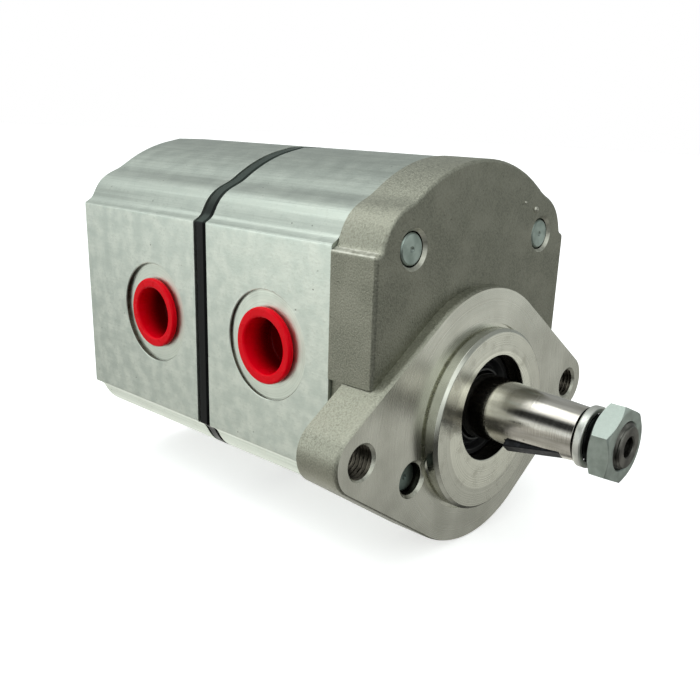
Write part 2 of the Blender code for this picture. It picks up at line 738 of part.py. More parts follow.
def drive_shaft():
    """Shaft with the front drive gear, journals, seal land, taper, thread, keyseat and coupling slot."""
    land_end = SEAL_BORE_DEPTH + FIT_GAP
    thread_chamfer_radius = THREAD_RADIUS - THREAD_CHAMFER
    profile = [
        (DRIVE_SHAFT_REAR, 0),
        (DRIVE_SHAFT_REAR, JOURNAL_RADIUS),
        (land_end + JOURNAL_RADIUS - LAND_RADIUS, JOURNAL_RADIUS),
        (land_end, LAND_RADIUS),
        (TAPER_START, LAND_RADIUS),
        (TAPER_END, taper_radius(TAPER_END)),
        (TAPER_END, THREAD_RADIUS),
        (SHAFT_END + THREAD_CHAMFER, THREAD_RADIUS),
        (SHAFT_END, thread_chamfer_radius),
        (SHAFT_END, CENTRE_HOLE_DIAMETER / 2),
        (SHAFT_END + CENTRE_HOLE_DEPTH, 0),
    ]
    gear = prism(gear_outline(math.pi / 2), *gear_span(FRONT_BODY_START, FRONT_BODY_LENGTH))
    slot_start = DRIVE_SHAFT_REAR - TONGUE_LENGTH - FIT_GAP
    slot = slot_tool(slot_start, DRIVE_SHAFT_REAR + CUT_MARGIN, upright=False)
    return cut(fused(turned(profile, ROUND_FACETS), [gear]), [keyseat_tool(), slot])


def pinion(body_start, body_length, phase):
    """A gear with a journal on each side."""
    gear = prism(gear_outline(phase), *gear_span(body_start, body_length))
    front = body_start + FIT_GAP
    rear = body_start + body_length - FIT_GAP
    return fused(gear, [rod(front, rear, JOURNAL_RADIUS, HIDDEN_FACETS)])


def rear_drive_gear():
    """The second section's drive gear, with the slot that the coupling's rear tongue enters."""
    slot_end = REAR_GEAR_FRONT + TONGUE_LENGTH + FIT_GAP
    slot = slot_tool(REAR_GEAR_FRONT - CUT_MARGIN, slot_end, upright=True)
    return cut(pinion(REAR_BODY_START, REAR_BODY_LENGTH, math.pi / 2), [slot])


def drive_coupling():
    """A disc in the plate's bore with a tongue on each face, set square to each other."""
    front = DRIVE_SHAFT_REAR + FIT_GAP
    rear = REAR_GEAR_FRONT - FIT_GAP
    half = TONGUE_WIDTH / 2 - FIT_GAP
    middle = (front + rear) / 2
    reach = JOURNAL_RADIUS - FIT_GAP
    disc = rod(front, rear, JOURNAL_RADIUS, HIDDEN_FACETS)
    front_tongue = block((-reach, front - TONGUE_LENGTH, -half), (reach, middle, half))
    rear_tongue = block((-half, middle, -reach), (half, rear + TONGUE_LENGTH, reach))
    return fused(disc, [front_tongue, rear_tongue])


def block_seal_line():
    """The curve of a bearing block's pressure seal: half round each bush, pinched in at the waist."""
    radius = (BUSH_RADIUS + FIT_GAP + BLOCK_RADIUS) / 2
    upper = arc((0, DRIVEN_Z), radius, BLOCK_SEAL_OPENING, -BLOCK_SEAL_PINCH, RING_STEPS // 2 + 1)
    lower = [(x, 2 * MID_Z - z) for x, z in reversed(upper)]
    waist = math.sqrt(BLOCK_RADIUS**2 - PITCH_RADIUS**2)
    return upper + [(waist - BLOCK_SEAL_WIDTH, MID_Z)] + lower


def ribbon(line, width, overrun, start, end):
    """A strip of even width along a line of (x, z) points, extruded along Y."""
    points = [Vector(point) for point in line]
    first = (points[0] - points[1]).normalized() * overrun
    last = (points[-1] - points[-2]).normalized() * overrun
    points = [points[0] + first, *points[1:-1], points[-1] + last]
    left = []
    right = []
    for index, point in enumerate(points):
        before = points[max(index - 1, 0)]
        after = points[min(index + 1, len(points) - 1)]
        ahead = (after - before).normalized()
        side = Vector((-ahead.y, ahead.x)) * width / 2
        left.append(tuple(point + side))
        right.append(tuple(point - side))
    return prism(left + right[::-1], start, end)


def bearing_block(start, end, seal_start, seal_end):
    """A figure of eight with two bush holes, and a groove for its pressure seal in the outer face."""
    bush_holes = [circle(BUSH_RADIUS + FIT_GAP, HIDDEN_FACETS, (0, z)) for z in (DRIVE_Z, DRIVEN_Z)]
    bm = prism(figure_eight(BLOCK_RADIUS), start, end, holes=bush_holes)
    groove = ribbon(block_seal_line(), BLOCK_SEAL_WIDTH + 2 * FIT_GAP, FIT_GAP, seal_start, seal_end)
    return cut(bm, [groove])


def shaft_seal():
    """A lip seal: outer wall, floor, main lip to the rear and dust lip to the front."""
    front = SEAL_RECESS - SPIGOT_HEIGHT
    rear = front + SEAL_WIDTH
    outer = SEAL_BORE_DIAMETER / 2 - FIT_GAP
    lip = LAND_RADIUS + RUNNING_GAP
    floor_front = front + SEAL_FLOOR
    floor_rear = floor_front + SEAL_FLOOR
    profile = [
        (front, outer),
        (rear, outer),
        (rear, outer - SEAL_WALL),
        (floor_rear, outer - SEAL_WALL),
        (floor_rear, lip + 2 * SEAL_LIP),
        (rear - SEAL_LIP, lip + SEAL_LIP),
        (rear - SEAL_LIP, lip),
        (floor_front, lip + SEAL_LIP / 2),
        (front - SEAL_LIP / 2, lip),
        (front - SEAL_LIP / 2, lip + SEAL_LIP),
        (front + SEAL_LIP, lip + 2 * SEAL_LIP),
        (floor_front, outer - SEAL_WALL - SEAL_LIP),
        (front, outer - SEAL_WALL),
    ]
    return turned(profile, ROUND_FACETS, ring=True)


def cup_plug(bore_diameter):
    """A push-in plastic cup with a rim, open to the outside. Zero is the spot face, +Y points out."""
    shank = bore_diameter / 2 - FIT_GAP
    rim = bore_diameter / 2 + PLUG_RIM_OVERLAP
    mouth = shank - PLUG_WALL
    seat = FIT_GAP
    top = seat + PLUG_RIM_THICKNESS
    tip = seat - PLUG_LENGTH
    profile = [
        (tip, 0),
        (tip, shank - PLUG_DRAFT - PLUG_RIM_ROUND),
        (tip + PLUG_RIM_ROUND, shank - PLUG_DRAFT),
        (seat, shank),
        (seat, rim),
        (top - PLUG_RIM_ROUND, rim),
        (top, rim - PLUG_RIM_ROUND),
        (top, mouth + PLUG_RIM_ROUND),
        (top - PLUG_RIM_ROUND, mouth),
        (tip + PLUG_WALL, mouth - PLUG_DRAFT),
        (tip + PLUG_WALL, 0),
    ]
    return turned(profile, ROUND_FACETS)


def shaft_nut():
    """The thin nut near the end of the shaft's thread, with its corners turned down at both ends."""
    start = SHAFT_END + NUT_TO_END
    end = start + NUT_THICKNESS
    flat = NUT_FLATS / 2
    corner = NUT_FLATS / math.sqrt(3) + CUT_MARGIN
    drop = (corner - flat) * math.tan(HEX_CHAMFER_ANGLE)
    profile = [
        (start - CUT_MARGIN, 0),
        (start, flat),
        (start + drop, corner),
        (end - drop, corner),
        (end, flat),
        (end + CUT_MARGIN, 0),
    ]
    bore = circle(THREAD_RADIUS + FIT_GAP, ROUND_FACETS)
    plain = prism(hexagon(NUT_FLATS, NUT_ANGLE), start, end, [bore])
    return combined(plain, [turned(profile, ROUND_FACETS)], "INTERSECT")


def spring_washer():
    """A split ring that climbs a little over its turn, next to the end of the taper."""
    inner = THREAD_RADIUS + FIT_GAP
    outer = SPRING_WASHER_DIAMETER / 2
    rear = TAPER_END - FIT_GAP
    front = rear - SPRING_WASHER_THICKNESS
    bm = bmesh.new()
    corners = [(inner, rear), (outer, rear), (outer, front), (inner, front)]
    face = bm.faces.new([bm.verts.new((radius, y, 0)) for radius, y in corners])
    sweep = 2 * math.pi - SPRING_WASHER_SLIT
    climb = Vector((0, -SPRING_WASHER_RISE / ROUND_FACETS, 0))
    bmesh.ops.spin(
        bm, geom=[face], cent=(0, 0, 0), axis=(0, 1, 0), dvec=climb, angle=sweep, steps=ROUND_FACETS
    )
    bmesh.ops.remove_doubles(bm, verts=bm.verts[:], dist=MERGE_DISTANCE)
    bmesh.ops.recalc_face_normals(bm, faces=bm.faces[:])
    return bm


def through_bolt(tip):
    """A socket-head bolt along Y, its head sunk in the rear cover and a dimple in its chamfered end."""
    radius = BOLT_DIAMETER / 2
    head = BOLT_HEAD_DIAMETER / 2
    profile = [
        (tip + BOLT_DIMPLE_DEPTH, 0),
        (tip, BOLT_DIMPLE_RADIUS),
        (tip, radius - BOLT_END_CHAMFER),
        (tip + BOLT_END_CHAMFER, radius),
        (BOLT_SEAT, radius),
        (BOLT_SEAT, head),
        (BOLT_HEAD_END - BOLT_HEAD_CHAMFER, head),
        (BOLT_HEAD_END, head - BOLT_HEAD_CHAMFER),
        (BOLT_HEAD_END, 0),
    ]
    key_hole = hexagon(BOLT_SOCKET_FLATS, 0.0)
    socket = prism(key_hole, BOLT_HEAD_END - BOLT_SOCKET_DEPTH, BOLT_HEAD_END + CUT_MARGIN)
    return cut(turned(profile, SMALL_FACETS), [socket])


def add_housing(parent):
    """Covers, bodies and the plate between them."""
    add_piece("front_cover", front_cover(), "cast_aluminium", parent)
    front = pump_body(FRONT_BODY_START, FRONT_BODY_LENGTH, FRONT_SPOT_DEPTH)
    add_piece("front_body", front, "extruded_aluminium", parent)
    add_piece("intermediate_plate", intermediate_plate(), "black_plate", parent)
    rear = pump_body(REAR_BODY_START, REAR_BODY_LENGTH, REAR_SPOT_DEPTH)
    add_piece("rear_body", rear, "extruded_aluminium", parent)
    add_piece("rear_cover", rear_cover(), "extruded_aluminium", parent)


def add_bearings(parent, section, body_start, body_length):
    """Two bearing blocks of a section, each with two bushes and a pressure seal."""
    seal_thickness = BLOCK_SEAL_DEPTH - FIT_GAP
    body_end = body_start + body_length
    for place_name, start, outer_face, inward in (
        ("front", body_start, body_start, 1),
        ("rear", body_end - BLOCK_LENGTH, body_end, -1),
    ):
        label = f"{section}_section_{place_name}"
        end = start + BLOCK_LENGTH
        groove = sorted((outer_face - inward * CUT_MARGIN, outer_face + inward * BLOCK_SEAL_DEPTH))
        add_piece(f"{label}_block", bearing_block(start, end, *groove), "bearing_alloy", parent)
        strip = sorted((outer_face, outer_face + inward * seal_thickness))
        seal = ribbon(block_seal_line(), BLOCK_SEAL_WIDTH, 0.0, *strip)
        add_piece(f"{label}_block_seal", seal, "black_rubber", parent)
        bush = finished_mesh(
            f"{label}_bush", tube(start, end, BUSH_BORE_RADIUS, BUSH_RADIUS, HIDDEN_FACETS), "bush_bronze"
        )
        place(f"{label}_drive_bush", bush, parent, (0, 0, DRIVE_Z))
        place(f"{label}_driven_bush", bush, parent, (0, 0, DRIVEN_Z))


def add_body_seals(parent, section, body_start, body_length):
    """The rubber rings in both end faces of a body."""
    thickness = BODY_SEAL_DEPTH - FIT_GAP
    body_end = body_start + body_length
    front = body_seal_ring(body_start, body_start + thickness, 0.0)
    rear = body_seal_ring(body_end - thickness, body_end, 0.0)
    add_piece(f"{section}_body_front_seal", front, "black_rubber", parent)
    add_piece(f"{section}_body_rear_seal", rear, "black_rubber", parent)


def add_plugs(parent):
    """A red cup plug in each port."""
    for section, start, length, spot_depth in (
        ("front", FRONT_BODY_START, FRONT_BODY_LENGTH, FRONT_SPOT_DEPTH),
        ("rear", REAR_BODY_START, REAR_BODY_LENGTH, REAR_SPOT_DEPTH),
    ):
        port_y = start + length / 2 + PORT_SHIFT
        for port, side, bore in (("outlet", -1, OUTLET_BORE_DIAMETER), ("inlet", 1, INLET_BORE_DIAMETER)):
            plug = to_side(shifted(cup_plug(bore), 0, 0, -spot_depth), side, port_y)
            add_piece(f"{section}_{port}_plug", plug, "red_plastic", parent)


def add_fasteners(parent):
    """Through bolts with their washers, and the dowels of each joint."""
    washer_end = WASHER_START + WASHER_THICKNESS
    washer_hole = BOLT_DIAMETER / 2 + FIT_GAP
    ring = tube(WASHER_START, washer_end, washer_hole, WASHER_DIAMETER / 2, SMALL_FACETS)
    washer = finished_mesh("bolt_washer", ring, "zinc_steel")
    for number, (x, z) in enumerate(BOLT_PLACES, start=1):
        recess = UPPER_BOLT_RECESS if z > MID_Z else LOWER_BOLT_RECESS
        bolt = through_bolt(bolt_end_face(z) + recess)
        add_piece(f"through_bolt_{number}", bolt, "zinc_steel", parent, (x, 0, z))
        place(f"bolt_washer_{number}", washer, parent, (x, 0, z))
    for joint, start, end in (
        ("front", COVER_DEPTH, FRONT_BODY_START),
        ("middle", FRONT_BODY_END, REAR_BODY_START),
        ("rear", REAR_BODY_END, REAR_COVER_START),
    ):
        shape = rod(start - DOWEL_DEPTH, end + DOWEL_DEPTH, DOWEL_DIAMETER / 2, DOWEL_FACETS)
        pin = finished_mesh(f"{joint}_dowel", shape, "gear_steel")
        for side, (x, z) in zip(("left", "right"), DOWEL_PLACES):
            place(f"{joint}_dowel_{side}", pin, parent, (x, 0, z))


def add_drive_train(axis):
    """Everything that turns with the drive shaft."""
    add_piece("drive_shaft", drive_shaft(), "ground_steel", axis)
    add_piece("drive_coupling", drive_coupling(), "gear_steel", axis)
    add_piece("rear_drive_gear", rear_drive_gear(), "gear_steel", axis)
    add_piece("woodruff_key", woodruff_key(), "black_steel", axis)
    add_piece("spring_washer", spring_washer(), "zinc_steel", axis)
    add_piece("shaft_nut", shaft_nut(), "zinc_steel", axis)


def main():
    clear_scene()
    housing = empty("housing", (0, 0, 0))
    drive_axis = empty("drive_axis", (0, 0, DRIVE_Z), housing)
    front_driven_axis = empty("front_driven_axis", (0, 0, DRIVEN_Z), housing)
    rear_driven_axis = empty("rear_driven_axis", (0, 0, DRIVEN_Z), housing)
    add_housing(housing)
    for section, start, length in (
        ("front", FRONT_BODY_START, FRONT_BODY_LENGTH),
        ("rear", REAR_BODY_START, REAR_BODY_LENGTH),
    ):
        add_bearings(housing, section, start, length)
        add_body_seals(housing, section, start, length)
    add_piece("shaft_seal", shaft_seal(), "black_rubber", housing, (0, 0, DRIVE_Z))
    add_plugs(housing)
    add_fasteners(housing)
    add_drive_train(drive_axis)
    gap_phase = math.pi / 2 + math.pi / TOOTH_COUNT
    front_driven = pinion(FRONT_BODY_START, FRONT_BODY_LENGTH, gap_phase)
    add_piece("front_driven_gear", front_driven, "gear_steel", front_driven_axis)
    rear_driven = pinion(REAR_BODY_START, REAR_BODY_LENGTH, gap_phase)
    add_piece("rear_driven_gear", rear_driven, "gear_steel", rear_driven_axis)


main()
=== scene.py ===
"""Looks of the two-section hydraulic gear pump: fine meshes, finishes, a pale studio and the camera.

Metres, +Z up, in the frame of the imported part. The origin is the spigot's centre on the mounting face,
the shaft points to -Y, the sections follow each other along +Y and the outlets are on the -X side.
"""

import math

import bmesh
import bpy
from mathutils import Euler, Matrix, Vector


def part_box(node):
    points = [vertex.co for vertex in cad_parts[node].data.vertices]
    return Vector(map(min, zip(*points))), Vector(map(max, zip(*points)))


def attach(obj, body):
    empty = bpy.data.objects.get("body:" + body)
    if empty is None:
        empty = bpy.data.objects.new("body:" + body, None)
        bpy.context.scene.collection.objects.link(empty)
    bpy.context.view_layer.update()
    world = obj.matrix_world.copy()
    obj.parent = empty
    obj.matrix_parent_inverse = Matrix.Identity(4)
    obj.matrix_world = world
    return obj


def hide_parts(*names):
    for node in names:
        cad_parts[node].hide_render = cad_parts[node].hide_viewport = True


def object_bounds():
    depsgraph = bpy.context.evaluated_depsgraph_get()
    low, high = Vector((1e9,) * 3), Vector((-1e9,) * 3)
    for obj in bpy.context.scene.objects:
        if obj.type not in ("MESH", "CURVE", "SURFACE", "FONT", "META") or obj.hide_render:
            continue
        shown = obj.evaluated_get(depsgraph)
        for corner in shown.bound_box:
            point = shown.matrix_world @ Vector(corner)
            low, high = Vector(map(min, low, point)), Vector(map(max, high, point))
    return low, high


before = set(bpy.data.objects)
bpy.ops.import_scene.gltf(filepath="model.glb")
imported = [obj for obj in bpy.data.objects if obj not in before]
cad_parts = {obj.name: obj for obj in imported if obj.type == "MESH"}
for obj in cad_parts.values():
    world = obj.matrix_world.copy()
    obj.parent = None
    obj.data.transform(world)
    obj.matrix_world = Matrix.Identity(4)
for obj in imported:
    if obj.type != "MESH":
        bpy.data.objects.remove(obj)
cad_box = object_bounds()

# Section of the bodies, the plate and the covers
HALF_WIDTH = 0.041
HALF_HEIGHT = 0.0485
MID_Z = 0.0185
CROWN_RADIUS = 0.047
EAR_RADIUS = 0.0095
EAR_BLEND = 0.0010
HALF_BOLT_SPACING = 0.0285
# A ledge is (height of its corner over the middle, slope, blend of its corner, blend into the ear)
BODY_LEDGE = (0.0289, math.radians(28), 0.00012, 0.0005)
COVER_LEDGE = (0.0274, math.radians(17), 0.0003, 0.0004)
COVER_OUTSET = 0.0004
# Stretches of a quarter of the section: (start, end) in degrees past the ledge's corner, and steps
SECTION_STRETCHES = ((-1.0, 0.8, 9), (0.8, 4.0, 9), (4.0, 25.0, 18))
CROWN_STEPS = 10

# Flange, spigot and front cover. A thread is (minor radius, major radius, pitch)
COVER_SETBACK = 0.0035
COVER_EDGE = 0.0010
COVER_RELIEF = 0.0010
FLANGE_RADIUS = 0.0356
FLANGE_EAR_RADIUS = 0.0085
FLANGE_THICKNESS = 0.013
FLANGE_EDGE = 0.0024
FLANGE_EDGE_START = math.radians(56)
HALF_MOUNT_SPACING = 0.0477
MOUNT_PLACES = (-HALF_MOUNT_SPACING, HALF_MOUNT_SPACING)
MOUNT_THREAD = (0.0041, 0.0047, 0.0012)
MOUNT_CHAMFER = 0.00075
BOLT_HOLE_CHAMFER = 0.0008
HOLE_CHAMFER = 0.0003
SPIGOT_RADIUS = 0.025
SPIGOT_HEIGHT = 0.0041
SPIGOT_CHAMFER = 0.0008
SPIGOT_RELIEF_WIDTH = 0.0009
SPIGOT_RELIEF_DEPTH = 0.0006
SPIGOT_TONE_RADIUS = 0.019
SPIGOT_TONE_BLEND = 0.0003
SEAL_BORE_RADIUS = 0.0145
SEAL_BORE_DEPTH = 0.0075
SEAL_BORE_CHAMFER = 0.00015
# Pips left by the mould: x, z and radius of each dome, and the share of its radius that stands proud
PIPS = ((0.0246, 0.0539, 0.0010), (0.0188, 0.0560, 0.0005))
PIP_RISE = 0.7
PIP_ANGLES = (0, 0.5, 1.0, 1.5)

# Bolts, dowels and seal grooves
BOLT_RADIUS = 0.004
BOLT_HOLE_RADIUS = 0.0043
BOLT_END_CHAMFER = 0.0004
BOLT_DIMPLE_RADIUS = 0.0007
BOLT_DIMPLE_DEPTH = 0.0006
BOLT_HEAD_RADIUS = 0.0065
BOLT_HEAD_HEIGHT = 0.005
BOLT_HEAD_CHAMFER = 0.0005
BOLT_SOCKET_FLATS = 0.005
BOLT_SOCKET_DEPTH = 0.0028
BOLT_WASHER_EDGE = 0.0003
COUNTERBORE_RADIUS = 0.0075
BOLT_PLACES = [
    (side * HALF_BOLT_SPACING, MID_Z + level * HALF_BOLT_SPACING) for level in (1, -1) for side in (-1, 1)
]
DOWEL_HOLE_RADIUS = 0.0028
DOWEL_HOLE_DEPTH = 0.0063
DOWEL_OFFSET = (0.033, 0.014)
DOWEL_PLACES = [(side * DOWEL_OFFSET[0], MID_Z + side * DOWEL_OFFSET[1]) for side in (-1, 1)]
GROOVE_INNER_RADIUS = 0.0202
GROOVE_OUTER_RADIUS = 0.0230
GROOVE_DEPTH = 0.0018

# Shaft seal. Its front is (depth behind the face, height over the lip) from the dust lip outward
SEAL_WALL = 0.0017
SEAL_FLOOR = 0.0036
SEAL_FACE_DEPTH = 0.0004
SEAL_LIP_GAP = 0.0004
SEAL_LIP = 0.0008
SEAL_VALLEY_DEPTH = 0.0018
SEAL_VALLEY_HEIGHT = 0.0004
DUST_LIP = 0.0006
SEAL_FRONT = ((0.0010, 0.0012), (0.0014, 0.0019), (0.0007, 0.0022), (0.0014, 0.0025))
SEAL_RING_DEPTH = 0.0016
SEAL_RING_INSET = 0.0022
SEAL_RIM = 0.0014

# Gears and shaft
DRIVE_Z = 0.0035
DRIVEN_Z = 0.0335
CHAMBER_RADIUS = 0.0178
JOURNAL_RADIUS = 0.010
JOURNAL_BORE = 0.0104
LAND_RADIUS = 0.009
LAND_END = 0.0078
TAPER_START = 0.0015
TAPER_END = -0.031
TAPER_RATIO = 8
SHAFT_THREAD = (0.0052, 0.0060, 0.0015)
THREAD_CHAMFER = 0.0010
CENTRE_HOLE_RADIUS = 0.0026
CENTRE_HOLE_DEPTH = 0.0050
CENTRE_HOLE_TIP = 0.0065
KEY_WIDTH = 0.004
KEY_HEIGHT = 0.0065
KEY_RADIUS = 0.00775
KEY_PROUD = 0.0006
KEY_Y = -0.0198
KEY_ANGLE = math.radians(-128)
KEY_TILT = math.radians(6.2)
KEY_EDGE = 0.00025
KEYSEAT_PLAY = 0.0003
NUT_FLATS = 0.0177
NUT_ANGLE = math.radians(36.6)
NUT_BORE = 0.0061
NUT_COUNTERSINK = 0.0003
HEX_CHAMFER_ANGLE = math.radians(30)
SPRING_WASHER_RADII = (0.0063, 0.0079)
SPRING_WASHER_THICKNESS = 0.0022
SPRING_WASHER_EDGE = 0.00045
SPRING_WASHER_RISE = 0.0008
SPRING_WASHER_SLIT = math.radians(14)
TOOTH_COUNT = 12
PITCH_RADIUS = 0.015
TIP_RADIUS = 0.0174
ROOT_RADIUS = 0.0121
BACKLASH = 0.0005
TOOTH_HALF_ANGLE = math.pi / (2 * TOOTH_COUNT) - BACKLASH / (4 * PITCH_RADIUS)
PRESSURE_ANGLE = math.radians(20)
GEAR_INSET = 0.0144
TONGUE_SLOT_HALF_WIDTH = 0.003
TONGUE_SLOT_DEPTH = 0.0039

# Ports and plugs: side, spot radius and bore radius of the outlets and inlets
PORTS = {"outlet": (-1, 0.0146, 0.0093), "inlet": (1, 0.0175, 0.01205)}
PORT_SHIFT = -0.0006
PORT_DEPTH = 0.0150
PASSAGE_END = CHAMBER_RADIUS / 4
PASSAGE_RADIUS = {"front": 0.0073, "rear": 0.0047}
SPOT_DEPTH = {"front": 0.0008, "rear": 0.0012}
SPOT_EDGE = 0.0002
PLUG_RIM_OVERLAP = 0.0009
PLUG_RIM_THICKNESS = 0.0017
PLUG_RIM_ROUND = 0.0007
PLUG_ROUND_STEPS = 5
PLUG_WALL = 0.0015
PLUG_LENGTH = 0.0095
PLUG_DRAFT = 0.0003
PLUG_SHADE_DEPTH = 0.7 * PLUG_LENGTH

# Edges, joints and fits
FIT_GAP = 0.0003
BODY_EDGE = 0.00012
PLATE_CHAMFER = 0.0011
REAR_EDGE = 0.0003
FINE_EDGE = 0.00015
HAIRLINE = 0.00001
CUT_MARGIN = 0.001

# Facets, shading and finishes
ROUND_FACETS = 96
SPIGOT_FACETS = 160
HOLE_FACETS = 48
SMALL_FACETS = 16
FLANGE_EAR_STEPS = 28
FLANGE_ROUND_STEPS = 40
KEY_STEPS = 40
FLANK_STEPS = 6
THREAD_ROWS = 8
EDGE_STEPS = 6
MERGE_DISTANCE = 0.000001
FLAT_ANGLE = math.radians(0.02)
SHARP_ANGLE = math.radians(34)
NEAR = 0.00005
# A face whose normal has less than this along an axis counts as a wall along it
WALL = 0.5
# A rounded corner takes up less than half of each side that meets there
CORNER_SHARE = 0.45
# Normals along X where the front cover's ledge turns into its side, where a painted highlight goes
LEDGE_TURN = (0.25, 0.97)
# Most of a noise lies in this range, and a spot is full within this share of its radius
NOISE_MIDDLE = (0.3, 0.7)
SPOT_CORE = 0.4

# Studio: metres, degrees, millimetres of lens and colours from 0 to 255
CAMERA_PLACE = (-0.18005, -0.11685, 0.07406)
CAMERA_TURN = (71.945, -2.529, -48.956)
CAMERA_LENS = 42.593
CAMERA_SHIFT = (-0.04511, 0.06511)
CAMERA_NEAR = 0.01
FLOOR_HALF = 6.0
FLOOR_CELLS = 8
FLOOR_CLOUD = 0.4
FLOOR_ROUGHNESS = 0.9
FLOOR_GLOW = 0.60
SKY_LIGHT = 0.36
GROUND_LIGHT = 0.06
LEAST_LIGHT = 0.02
HORIZON = (-0.24, -0.04)
# Lights of the room: axis, cosine where it starts, strength. The last one takes light away
SOFT_BOXES = (
    ((-0.30, -0.10, 0.95), 0.80, 0.94),
    ((-0.76, 0.64, 0.08), 0.89, 0.85),
    ((-0.76, 0.63, -0.17), 0.88, 0.74),
    ((-0.67, 0.68, 0.30), 0.95, 1.60),
    ((-0.90, 0.42, -0.10), 0.85, 0.10),
    ((-0.20, 0.60, 0.77), 0.89, 1.40),
    ((0.02, 0.40, 0.92), 0.88, 0.15),
    ((-0.80, -0.52, 0.30), 0.75, 0.52),
    ((-0.47, 0.45, -0.75), 0.80, 0.40),
    ((0.76, -0.65, -0.03), 0.89, 0.56),
    ((0.67, -0.61, -0.42), 0.90, 0.36),
    ((-0.28, -0.77, 0.54), 0.88, 0.90),
    ((0.50, 0.64, -0.58), 0.84, 0.90),
    ((-0.02, 0.73, -0.68), 0.86, 1.10),
    ((0.03, -0.44, -0.89), 0.84, 0.40),
    ((-0.81, 0.41, 0.42), 0.93, -0.50),
)
SKY_TONE = (249, 255, 253)
GROUND_TONE = (252, 253, 246)
WHITE = (255, 255, 255)
LAMP_PLACE = (-0.30, 0.30, 0.90)
LAMP_SIZE = 0.60
LAMP_POWER = 0.8
LAMP_AIM = (0, 0.04, 0.02)


def span(node):
    """Where a node starts and ends along the shaft."""
    low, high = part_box(node)
    return low.y, high.y


COVER_REAR = span("front_cover")[1]
BODIES = {"front": span("front_body"), "rear": span("rear_body")}
PLATE = span("intermediate_plate")
REAR_COVER_END = span("rear_cover")[1]
SHAFT_FRONT, SHAFT_REAR = span("drive_shaft")
NUT = span("shaft_nut")


def port_middle(section):
    """Where the ports of a section lie along the shaft."""
    start, end = BODIES[section]
    return (start + end) / 2 + PORT_SHIFT


# Outlines and solids


def arc(centre, radius, start, end, steps):
    """Points (x, z) along an arc, both ends included."""
    turn = (end - start) / steps
    return [
        (centre[0] + radius * math.cos(start + turn * k), centre[1] + radius * math.sin(start + turn * k))
        for k in range(steps + 1)
    ]


def circle(radius, facets=ROUND_FACETS, centre=(0, 0)):
    """Points (x, z) round a circle."""
    return arc(centre, radius, 0, 2 * math.pi, facets)[:-1]


def hexagon(across_flats, angle=0.0):
    """Corners (x, z) of a hexagon with its first corner at the angle."""
    return arc((0, 0), across_flats / math.sqrt(3), angle, angle + 2 * math.pi, 6)[:-1]


def soft_max(first, second, blend):
    """The larger of two lengths, with a smooth change from one to the other."""
    return max(first, second) + blend * math.log1p(math.exp(-abs(first - second) / blend))


def ray_through_disc(angle, centre, radius):
    """How far a ray from the middle of the section runs before it leaves a disc, or 0 if it misses."""
    along = centre[0] * math.cos(angle) + centre[1] * math.sin(angle)
    aside = centre[1] * math.cos(angle) - centre[0] * math.sin(angle)
    if abs(aside) > radius:
        return 0.0
    return along + math.sqrt(radius * radius - aside * aside)


def section_reach(angle, inset, ledge_form):
    """How far one quarter of the section reaches from its middle: side, ledge, bolt ear and crown."""
    shoulder, slope, corner_blend, ledge_blend = ledge_form
    side = (HALF_WIDTH - inset) / max(math.cos(angle), NEAR)
    ledge_depth = HALF_WIDTH * math.sin(slope) + shoulder * math.cos(slope) - inset
    ledge = ledge_depth / math.sin(angle + slope)
    straight = -soft_max(-side, -ledge, corner_blend)
    crown = ray_through_disc(angle, (0, HALF_HEIGHT - CROWN_RADIUS), CROWN_RADIUS - inset)
    ear = ray_through_disc(angle, (HALF_BOLT_SPACING, HALF_BOLT_SPACING), EAR_RADIUS - inset)
    top = (HALF_HEIGHT - inset) / math.sin(angle)
    return min(soft_max(straight, soft_max(crown, ear, EAR_BLEND), ledge_blend), top)


def section_outline(inset=0.0, ledge_form=BODY_LEDGE):
    """The outer section, with most of its points round the ledge and the ear."""
    corner = math.atan2(ledge_form[0], HALF_WIDTH)
    angles = [
        corner + math.radians(start + (end - start) * step / steps)
        for start, end, steps in SECTION_STRETCHES
        for step in range(steps)
    ]
    crown_start = corner + math.radians(SECTION_STRETCHES[-1][1])
    angles += [crown_start + (math.pi / 2 - crown_start) * k / CROWN_STEPS for k in range(CROWN_STEPS + 1)]
    reaches = [(section_reach(angle, inset, ledge_form), angle) for angle in angles]
    quarter = [(reach * math.cos(angle), reach * math.sin(angle)) for reach, angle in reaches]
    upper = quarter + [(-x, z) for x, z in reversed(quarter[:-1])]
    lower = [(-x, -z) for x, z in upper]
    return [(x, MID_Z + z) for x, z in upper + lower]


def cover_outline(inset=0.0):
    """The front cover's section, a little proud of the bodies and with lower shoulders."""
    return section_outline(inset - COVER_OUTSET, COVER_LEDGE)


def flange_tangent():
    """Angle at which the flange's straight sides leave its round middle."""
    return math.acos((FLANGE_RADIUS - FLANGE_EAR_RADIUS) / HALF_MOUNT_SPACING)


def flange_outline(inset=0.0):
    """The rhombus flange: a round middle and two ears, joined by their tangents."""
    tangent = flange_tangent()
    right_ear = arc((HALF_MOUNT_SPACING, 0), FLANGE_EAR_RADIUS - inset, -tangent, tangent, FLANGE_EAR_STEPS)
    top = arc((0, 0), FLANGE_RADIUS - inset, tangent, math.pi - tangent, FLANGE_ROUND_STEPS)
    return right_ear + top + [(-x, -z) for x, z in right_ear + top]


def figure_eight(radius):
    """Two round chambers that run into each other."""
    waist = math.asin(PITCH_RADIUS / radius)
    upper = arc((0, DRIVEN_Z), radius, -waist, math.pi + waist, HOLE_FACETS)
    lower = arc((0, DRIVE_Z), radius, math.pi - waist, 2 * math.pi + waist, HOLE_FACETS)
    return upper[:-1] + lower[:-1]


def racetrack(radius):
    """A line round both chambers, with straight sides."""
    upper = arc((0, DRIVEN_Z), radius, 0, math.pi, HOLE_FACETS // 2)
    return upper + arc((0, DRIVE_Z), radius, math.pi, 2 * math.pi, HOLE_FACETS // 2)


